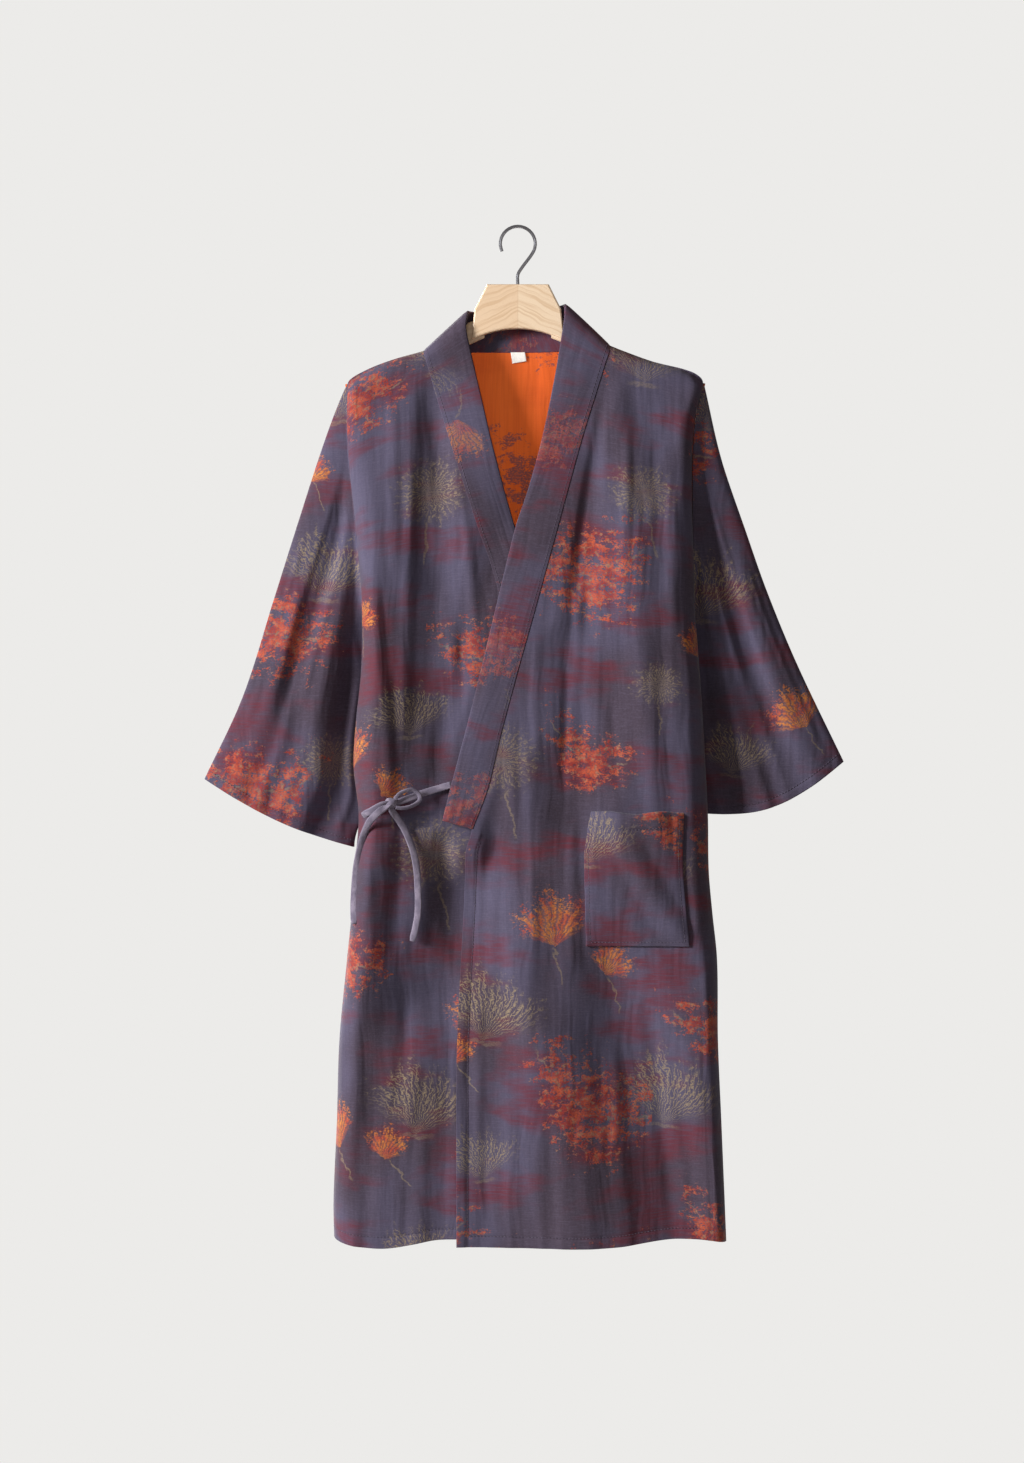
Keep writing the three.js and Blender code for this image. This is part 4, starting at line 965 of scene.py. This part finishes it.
def tie_finish(colours):
    """Narrow folded bands of the robe's plain ground."""
    f = Finish("tie_band", {"Roughness": 0.85, "Sheen Weight": 0.15, "Specular IOR Level": 0.25})
    u, v = f.flat()
    tone = f.noise(u * 260, v * 60, detail=2.0)
    edge = f.noise(u * 900, v * 300, 2.0, detail=1.0)
    colour = f.colour(f.step(tone, 0.35, 0.68), colours["tie"], colours["tie_light"])
    colour = f.colour(f.step(edge, 0.55, 0.8) * 0.35, colour, colours["ground_dark"])
    return f.finish(colour, height=(tone - 0.5) * 0.0006 + weave_height(f, u, v, crinkle=0.15))


def thread_finish(colours):
    """Spun sewing thread, close to the ground's colour."""
    f = Finish("stitching", {"Roughness": 0.7, "Specular IOR Level": 0.3})
    x, y, z = f.place()
    twist = f.noise(x * 900, y * 900, z * 900, detail=1.0)
    return f.finish(f.colour(twist, colours["ground"], colours["tie"]))


def label_finish():
    """Blank woven tape."""
    f = Finish("label_tape", {"Roughness": 0.6, "Specular IOR Level": 0.3})
    u, v = f.flat()
    ribs = f.math("SINE", v * (2 * math.pi / 0.0006)) * 0.5 + 0.5
    tone = f.noise(u * 500, v * 300, detail=2.0)
    colour = f.colour(f.step(tone, 0.3, 0.7) * 0.5, linear((236, 231, 222)), linear((205, 199, 190)))
    return f.finish(colour, height=ribs * 0.00006 + tone * 0.00005)


def wood_finish(colours):
    """Pale beech under a thin matt lacquer. Two halves meet in the middle and their grain slants apart."""
    f = Finish("hanger_beech", {"Coat Weight": 0.1, "Coat Roughness": 0.35})
    x, y, z = f.place()
    half = abs(x)
    drift = f.noise(x * 30, y * 30, z * 24, detail=2.0)
    slant = z + half * 0.45 + drift * 0.012
    grain = f.noise(half * 10, y * 30, slant * 300, detail=3.0, rough=0.6)
    flecks = f.noise(x * 420, y * 500, z * 1600, 1.0, rough=0.6)
    colour = f.colour(f.step(x, -0.0006, 0.0006), colours["wood"], colours["wood_light"])
    colour = f.colour(f.step(grain, 0.46, 0.68) * 0.5, colour, colours["wood_dark"])
    colour = f.colour(f.step(half, 0.0009, 0.0002) * 0.25, colour, colours["wood_dark"])
    colour = f.colour(f.step(flecks, 0.6, 0.72) * 0.3, colour, colours["wood_dark"])
    return f.finish(colour, rough=f.step(flecks, 0.3, 0.7, 0.42, 0.55), height=flecks * 0.00005)


def steel_finish():
    """Polished steel wire with faint drawing marks."""
    f = Finish("bright_wire", {"Metallic": 1.0})
    x, y, z = f.place()
    marks = f.noise(x * 1500, y * 1500, z * 120, detail=2.0)
    colour = f.colour(f.step(marks, 0.3, 0.7), linear((206, 208, 212)), linear((176, 178, 184)))
    return f.finish(colour, rough=f.step(marks, 0.3, 0.7, 0.16, 0.3), height=marks * 0.00001)


def floor_finish():
    f = Finish("floor_paint", {"Roughness": 0.9, "Specular IOR Level": 0.1})
    x, y, z = f.place()
    tone = f.noise(x * 2, y * 2, z, detail=2.0)
    return f.finish(f.colour(tone, linear((232, 231, 229)), linear((238, 237, 235))))


# The add-on


def swatch(name, rgb, text):
    settings = {"subtype": "COLOR", "size": 4, "min": 0, "max": 1}
    return FloatVectorProperty(name=name, description=text, default=linear(rgb), **settings)


def length(name, default, least, text):
    return FloatProperty(name=name, description=text, default=default, min=least, unit="LENGTH")


class RobeColours(bpy.types.PropertyGroup):
    """Colours of the cloth and the wood."""

    ground: swatch("Ground", (70, 59, 71), "The cloth's dusky ground")
    ground_cool: swatch("Cool ground", (81, 76, 96), "Cooler parts of the ground")
    ground_light: swatch("Light threads", (114, 104, 124), "Light threads in the ground")
    ground_dark: swatch("Dark threads", (52, 45, 57), "Dark threads in the ground")
    wine: swatch("Wine", (104, 36, 46), "The soft bands of wine red")
    red_leaf: swatch("Red leaf", (150, 50, 38), "The red leaves")
    orange_leaf: swatch("Orange leaf", (190, 84, 50), "The orange leaves")
    amber: swatch("Amber leaf", (206, 126, 52), "The fan leaves")
    khaki: swatch("Khaki", (148, 130, 102), "The grasses, stems and seed heads")
    lining: swatch("Reverse", (204, 86, 28), "The orange reverse of the cloth")
    lining_light: swatch("Light reverse", (214, 98, 36), "Lighter parts of the reverse")
    lining_dark: swatch("Dark reverse", (172, 64, 24), "Darker threads of the reverse")
    tie: swatch("Ties", (110, 102, 118), "The ties")
    tie_light: swatch("Tie edges", (138, 128, 143), "Light parts of the ties")
    wood: swatch("Wood", (236, 206, 170), "The hanger's wood")
    wood_light: swatch("Light wood", (242, 216, 182), "Lighter wood")
    wood_dark: swatch("Dark wood", (204, 164, 118), "The wood's grain")


class RobeSizes(bpy.types.PropertyGroup):
    """Sizes that a user would change."""

    cloth: length("Cloth", 0.002, 0.0005, "Wall of the cloth")
    band: length("Band", 0.003, 0.001, "Wall of the folded collar")
    patch: length("Pocket", 0.0016, 0.0005, "Wall of the pocket")
    facing: length("Facing", 0.013, 0.004, "Width of the turned edge and hem")
    camera: length("Camera", 4.0, 1, "Distance of the camera")
    floor: length("Floor", 1.72, 1.3, "Floor below the hook")


def sizes():
    return bpy.context.scene.robe_sizes


def colours():
    group = bpy.context.scene.robe_colours
    return {name: tuple(getattr(group, name)) for name in RobeColours.__annotations__}


def made(name, build):
    """A material that is made once."""
    return bpy.data.materials.get(name) or build()


def face_cloth(name, shift, plain=0.0):
    """The face of the robe's cloth for one piece, with its own place in the pattern."""
    return made(name + "_cloth", lambda: robe_cloth(name + "_cloth", colours(), shift, plain))


def lined_piece(bm, name, node, shift, wall):
    """A piece of cloth with its face and its reverse, in the place of its node."""
    back = made(name + "_reverse", lambda: reverse_cloth(name + "_reverse", colours(), shift))
    piece = thicken(keep(bm, name, face_cloth(name, shift), back), wall / MM)
    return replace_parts(piece, node)


def turned_edge(points, distance, outward=-1):
    """Lifts the doubled cloth of a turned edge and presses it in along its stitching."""
    width = sizes().facing / MM
    lift = 0.55 * ease((width + 1.5 - distance) / 3) - 0.7 * bump(distance - width, PRESS)
    points[:, 1] += outward * lift
    return points


def front_lines(neck_z, hem):
    """Heights of the rows of a front, close together near the shoulder and the hem."""
    middle = np.linspace(hem + 28, neck_z - 35, 232)
    return np.concatenate([(hem + NEAR_HEM)[::-1], middle, (neck_z - NEAR_SHOULDER)[::-1]])


def lamp(name, kind, spot, aim):
    """A lamp at a spot, aimed at a point."""
    light = bpy.data.objects.new(name, bpy.data.lights.new(name, kind))
    light.location = spot
    light.rotation_euler = (Vector(aim) - Vector(spot)).to_track_quat("-Z", "Y").to_euler()
    bpy.context.scene.collection.objects.link(light)
    return light


class ROBE_OT_camera(bpy.types.Operator):
    """Places the camera in front of the robe, at the photograph's angle"""

    bl_idname = "robe.camera"
    bl_label = "Camera"

    def execute(self, context):
        data = bpy.data.cameras.new("camera")
        data.sensor_width, data.lens = SENSOR, LENS
        camera = bpy.data.objects.new("camera", data)
        camera.location = (EYE["x"], -sizes().camera, EYE["z"])
        camera.rotation_euler = (math.pi / 2, 0, 0)
        context.scene.collection.objects.link(camera)
        context.scene.camera = camera
        return {"FINISHED"}


class ROBE_OT_ties(bpy.types.Operator):
    """Makes the two ties, the bow's loop and the knot"""

    bl_idname = "robe.ties"
    bl_label = "Ties"

    def execute(self, context):
        finish = made("tie_band", lambda: tie_finish(colours()))
        middle = ahead([(KNOT["x"], KNOT["z"], KNOT["ahead"])])
        self.knot(finish, middle[0])
        for name, first, last, nodes in (
            ("tie_from_collar", TIE_COLLAR, TIE_END_FRONT, ("tie_collar", "tie_end_front")),
            ("tie_from_side", TIE_SIDE, TIE_END_SIDE, ("tie_side", "tie_end_side")),
        ):
            route = np.concatenate([ahead(first), middle, ahead(last)])
            points, run = smooth_route(route, 110)
            near_knot = bump(np.linalg.norm(points - middle, axis=1), 16)
            twist = 50 * near_knot + 14 * np.sin(np.linspace(0, 9, len(points)))
            bm = ribbon(points, TIE["wide"], TIE["thick"], twist, taper=0.25)
            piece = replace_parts(keep(bm, name, finish), *nodes)
        points, run = smooth_route(ahead(TIE_LOOP), 60)
        bm = ribbon(points, LOOP["wide"], LOOP["thick"], 30 * np.sin(np.linspace(0, 6, 60)))
        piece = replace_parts(keep(bm, "tie_loop_band", finish), "tie_loop")
        return {"FINISHED"}

    def knot(self, finish, middle):
        """A small tight knot whose surface shows the wraps of the band."""
        bm = bmesh.new()
        bmesh.ops.create_uvsphere(bm, u_segments=48, v_segments=32, radius=0.5)
        flat_map = bm.loops.layers.uv.new("flat")
        for face in bm.faces:
            for corner in face.loops:
                corner[flat_map].uv = corner.vert.co.xz * KNOT["wide"] * MM
        for vert in bm.verts:
            p = vert.co
            wrap = math.cos(9 * (p.x * 0.8 + p.z * 0.6)) * (0.5 - abs(p.y) * 0.3)
            cross = max(0, 1 - ((p.x * 0.6 - p.z * 0.8) / 0.2) ** 2) * 0.1
            p *= 1 + 0.06 * wrap + cross
            spread = Vector((p.x * KNOT["wide"], p.y * KNOT["deep"], p.z * KNOT["high"]))
            vert.co = (Vector(middle) + spread) * MM
        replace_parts(keep(bm, "tied_knot", finish), "tie_knot")


class ROBE_OT_fronts(bpy.types.Operator):
    """Makes the two fronts, which cross over each other"""

    bl_idname = "robe.fronts"
    bl_label = "Fronts"

    def execute(self, context):
        for side, name, node, flat, area, shift in (
            (LEFT, "left_front", "front_left", (0.37, 1.1), 0.29, (0.03, 0.06)),
            (RIGHT, "right_front", "front_right", (0.34, 1.09), 0.262, (0.11, 0.17)),
        ):
            column = LAYER[side]

            def place(u, z, side=side, column=column):
                points, cloth = front_point(side, u, z)
                free = side * (cloth[:, 0] - inner_x(side, z))
                below = ease((COLLAR_END[column] - z) / 8)
                points = turned_edge(points, z - HEM[column])
                return turned_edge(points, np.where(below > 0.5, free, 99)), cloth

            columns = np.concatenate([NEAR_EDGE, np.linspace(0.054, 1, 104)])
            bm = sheet(columns, front_lines(NECK[side][1], HEM[column]), place, flip=side == RIGHT)
            piece = lined_piece(bm, name, node, shift, sizes().cloth)
        return {"FINISHED"}


class ROBE_OT_back(bpy.types.Operator):
    """Makes the back"""

    bl_idname = "robe.back"
    bl_label = "Back"

    def execute(self, context):
        low = NECK["back"] - HEM["back"]
        drops = np.concatenate([NEAR_SHOULDER, np.linspace(35, low - 28, 216), low - NEAR_HEM])[::-1]

        def place(n, drop):
            points, cloth = back_point(n, drop)
            return turned_edge(points, low - drop, outward=1), cloth

        bm = sheet(np.linspace(-1, 1, 151), drops, place, flip=True)
        piece = lined_piece(bm, "back_panel", "back", (0.07, 0.2), sizes().cloth)
        return {"FINISHED"}


class ROBE_OT_sleeves(bpy.types.Operator):
    """Makes the two wide sleeves"""

    bl_idname = "robe.sleeves"
    bl_label = "Sleeves"

    def execute(self, context):
        for side, name, node, flat, area, shift in (
            (RIGHT, "right_sleeve", "sleeve_right", (0.5, 0.56), 0.123, (0.02, 0.13)),
            (LEFT, "left_sleeve", "sleeve_left", (0.48, 0.52), 0.107, (0.14, 0.03)),
        ):
            v = np.concatenate([np.linspace(0, 0.97, 118) ** 1.2 / 0.97**0.2, NEAR_CUFF])

            def place(share, v, side=side):
                points, cloth = sleeve_point(side, share, v)
                above = SLEEVE["long"] * (1 - v)
                lift = 0.6 * ease((14.5 - above) / 3) - 0.7 * bump(above - 13, PRESS)
                points[:, 1] += -np.sin(share * 2 * math.pi) * lift
                return points, cloth

            bm = sheet(np.linspace(0, 1, 113), v, place, flip=side == RIGHT, tube=True)
            piece = lined_piece(bm, name, node, shift, sizes().cloth)
            self.thin_underarm(piece, side)
        return {"FINISHED"}

    def thin_underarm(self, piece, side):
        """Thins the wall at the underarm, where the tube is too sharp for its full wall."""
        group = piece.vertex_groups.new(name="underarm")
        for vert in piece.data.vertices:
            x, y, z = vert.co / MM
            if UNDERARM - 60 < z < UNDERARM + 25 and side * x < half_width(side, z) + 14:
                group.add([vert.index], 1.0, "REPLACE")
        wall = piece.modifiers["wall"]
        wall.vertex_group = group.name
        wall.invert_vertex_group = True
        wall.thickness_vertex_group = 0.08


class ROBE_OT_collar(bpy.types.Operator):
    """Makes the folded collar band, from one front's end round the neck to the other's"""

    bl_idname = "robe.collar"
    bl_label = "Collar"

    def execute(self, context):
        across = [
            -0.03, -0.012, 0, 0.015, 0.03, 0.06, 0.1, 0.16, 0.24, 0.33,
            0.42, 0.52, 0.62, 0.72, 0.81, 0.88, 0.93, 0.97, 1,
        ]
        place, count = collar_surface()
        bm = sheet(np.arange(count), across, place)
        face = face_cloth("collar_band", (0.05, 0.09), plain=0.85)
        piece = thicken(keep(bm, "collar_band", face), sizes().band / MM, lined=False)
        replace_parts(piece, "collar")
        return {"FINISHED"}


class ROBE_OT_pocket(bpy.types.Operator):
    """Makes the patch pocket on the left front"""

    bl_idname = "robe.pocket"
    bl_label = "Pocket"

    def execute(self, context):
        edge = np.array([0, 0.008, 0.02, 0.035, 0.05, 0.07])
        middle = [np.linspace(0.09, 0.8, 40), np.linspace(0.82, 0.92, 12)]
        steps = np.concatenate([edge, *middle, 1 - edge[::-1]])
        bm = sheet(steps, steps, pocket_point)
        piece = lined_piece(bm, "pocket_patch", "pocket", (0.1, 0.02), sizes().patch)
        return {"FINISHED"}


class ROBE_OT_label(bpy.types.Operator):
    """Makes the blank label at the back of the neck"""

    bl_idname = "robe.label"
    bl_label = "Neck label"

    def execute(self, context):
        def place(x, drop):
            z = NECK["back"] - 1 - drop * (1 - 0.014 * x)
            y = depth("back", x, z) - 3.6 - 0.5 * bump(drop - 6, 6)
            return np.stack([x + 0.16 * drop, y, z], -1), np.stack([x, -drop], -1)

        bm = sheet(np.linspace(-8.5, 8.5, 18), np.linspace(12, 0, 13), place)
        piece = thicken(keep(bm, "blank_label", made("label_tape", label_finish)), 0.6, lined=False)
        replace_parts(piece, "neck_label")
        return {"FINISHED"}


class ROBE_OT_stitching(bpy.types.Operator):
    """Sews the thread along the hems, turned edges, cuffs, collar and pocket"""

    bl_idname = "robe.stitching"
    bl_label = "Stitching"

    def execute(self, context):
        width = sizes().facing / MM
        for side, name in ((LEFT, "left_front_thread"), (RIGHT, "right_front_thread")):
            column = LAYER[side]
            hem = front_point(side, np.linspace(0.04, 0.99, 300), np.full(300, HEM[column] + width))[0]
            z = np.linspace(HEM[column] + width, COLLAR_END[column] - 12, 300)
            wide = np.abs(side * reach("front", side, z) - inner_x(side, z))
            self.sew(name, hem, front_point(side, width / wide, z)[0])
        low = NECK["back"] - HEM["back"] - width
        self.sew("back_thread", back_point(np.linspace(-0.99, 0.99, 400), np.full(400, low))[0], outward=1)
        for side, name in ((RIGHT, "right_cuff_thread"), (LEFT, "left_cuff_thread")):
            for end, first, last, outward in (("", 0.01, 0.49, -1), ("_behind", 0.51, 0.99, 1)):
                v = np.full(200, 1 - width / SLEEVE["long"])
                self.sew(name + end, sleeve_point(side, np.linspace(first, last, 200), v)[0], outward=outward)
        place, count = collar_surface()
        k = np.arange(count)
        self.sew("collar_thread", place(k, np.full(count, 0.06))[0], outward=0)
        rise, near = np.linspace(0.03, 0.99, 100), np.full(100, 0.043)
        span, mouth = np.linspace(0.04, 0.96, 100), 1 - MOUTH_HEM / (POCKET["top"] - POCKET["bottom"])
        lines = ((near, rise), (1 - near, rise), (span, np.full(100, 0.031)), (span, np.full(100, mouth)))
        self.sew("pocket_thread", *(pocket_point(t, w)[0] for t, w in lines))
        return {"FINISHED"}

    def sew(self, name, *lines, outward=-1):
        bm = bmesh.new()
        for line in lines:
            stitches(bm, line + np.array([0, outward * 0.1, 0]))
        keep(bm, name, made("stitching", lambda: thread_finish(colours())))


class ROBE_OT_hanger(bpy.types.Operator):
    """Finishes the wooden hanger and its hook"""

    bl_idname = "robe.hanger"
    bl_label = "Hanger"

    def execute(self, context):
        wood = made("hanger_beech", lambda: wood_finish(colours()))
        steel = made("bright_wire", steel_finish)
        for node, finish in (("hanger", wood), ("hanger_hook", steel)):
            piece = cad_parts[node]
            piece.data.materials.clear()
            piece.data.materials.append(finish)
        return {"FINISHED"}


class ROBE_OT_stage(bpy.types.Operator):
    """Makes the pale floor and the soft studio light"""

    bl_idname = "robe.stage"
    bl_label = "Stage"

    def execute(self, context):
        bm = bmesh.new()
        bmesh.ops.create_circle(bm, cap_ends=True, segments=96, radius=0.72)
        bmesh.ops.translate(bm, verts=bm.verts, vec=(0, 0.02, -sizes().floor))
        mesh = bpy.data.meshes.new("floor")
        bm.to_mesh(mesh)
        bm.free()
        mesh.materials.append(made("floor_paint", floor_finish))
        floor = bpy.data.objects.new("floor", mesh)
        context.scene.collection.objects.link(floor)
        for name, spot, power, size, colour in LAMPS:
            data = lamp(name, "AREA", spot, AIM).data
            data.energy, data.size, data.color = power, size, colour
        self.neck_lamp()
        world = bpy.data.worlds.new("studio")
        context.scene.world = world
        world.use_nodes = True
        tree = world.node_tree
        tree.nodes.clear()
        output = tree.nodes.new("ShaderNodeOutputWorld")
        seen, lit = (tree.nodes.new("ShaderNodeBackground") for _ in range(2))
        seen.inputs[0].default_value = linear((236, 235, 233))
        lit.inputs[0].default_value, lit.inputs[1].default_value = ROOM["colour"], ROOM["strength"]
        path, blend = tree.nodes.new("ShaderNodeLightPath"), tree.nodes.new("ShaderNodeMixShader")
        tree.links.new(path.outputs["Is Camera Ray"], blend.inputs[0])
        tree.links.new(lit.outputs[0], blend.inputs[1])
        tree.links.new(seen.outputs[0], blend.inputs[2])
        tree.links.new(blend.outputs[0], output.inputs[0])
        context.scene.view_settings.view_transform = "Standard"
        return {"FINISHED"}

    def neck_lamp(self):
        """A small soft lamp, shaded so that it reaches only the inside of the neck."""
        light = lamp("neck", "SPOT", NECK_LAMP["at"], NECK_LAMP["aim"])
        data = light.data
        data.energy, data.shadow_soft_size = NECK_LAMP["power"], NECK_LAMP["radius"]
        data.spot_size, data.spot_blend = math.radians(NECK_LAMP["angle"]), 1.0
        inside = bpy.data.collections.new("inside_of_the_neck")
        for name in ("back_panel", "blank_label"):
            inside.objects.link(bpy.data.objects[name])
        light.light_linking.receiver_collection = inside


class ROBE_PT_panel(bpy.types.Panel):
    """Lists the robe's pieces in the sidebar"""

    bl_idname = "ROBE_PT_panel"
    bl_label = "Kimono Robe"
    bl_space_type = "VIEW_3D"
    bl_region_type = "UI"
    bl_category = "Robe"

    def draw(self, context):
        for group in (context.scene.robe_sizes, context.scene.robe_colours):
            column = self.layout.column()
            for name in group.bl_rna.properties.keys():
                if name not in ("rna_type", "name"):
                    column.prop(group, name)
        for operator in OPERATORS:
            self.layout.operator(operator.bl_idname)


OPERATORS = (
    ROBE_OT_camera, ROBE_OT_ties, ROBE_OT_fronts, ROBE_OT_back, ROBE_OT_sleeves, ROBE_OT_collar,
    ROBE_OT_pocket, ROBE_OT_label, ROBE_OT_stitching, ROBE_OT_hanger, ROBE_OT_stage,
)
CLASSES = (RobeColours, RobeSizes, *OPERATORS, ROBE_PT_panel)


def register():
    for item in CLASSES:
        bpy.utils.register_class(item)
    bpy.types.Scene.robe_colours = PointerProperty(type=RobeColours)
    bpy.types.Scene.robe_sizes = PointerProperty(type=RobeSizes)


def unregister():
    del bpy.types.Scene.robe_sizes, bpy.types.Scene.robe_colours
    for item in reversed(CLASSES):
        bpy.utils.unregister_class(item)


def main():
    register()
    for operator in OPERATORS:
        getattr(bpy.ops.robe, operator.bl_idname.split(".")[1])()


if __name__ == "__main__":
    main()
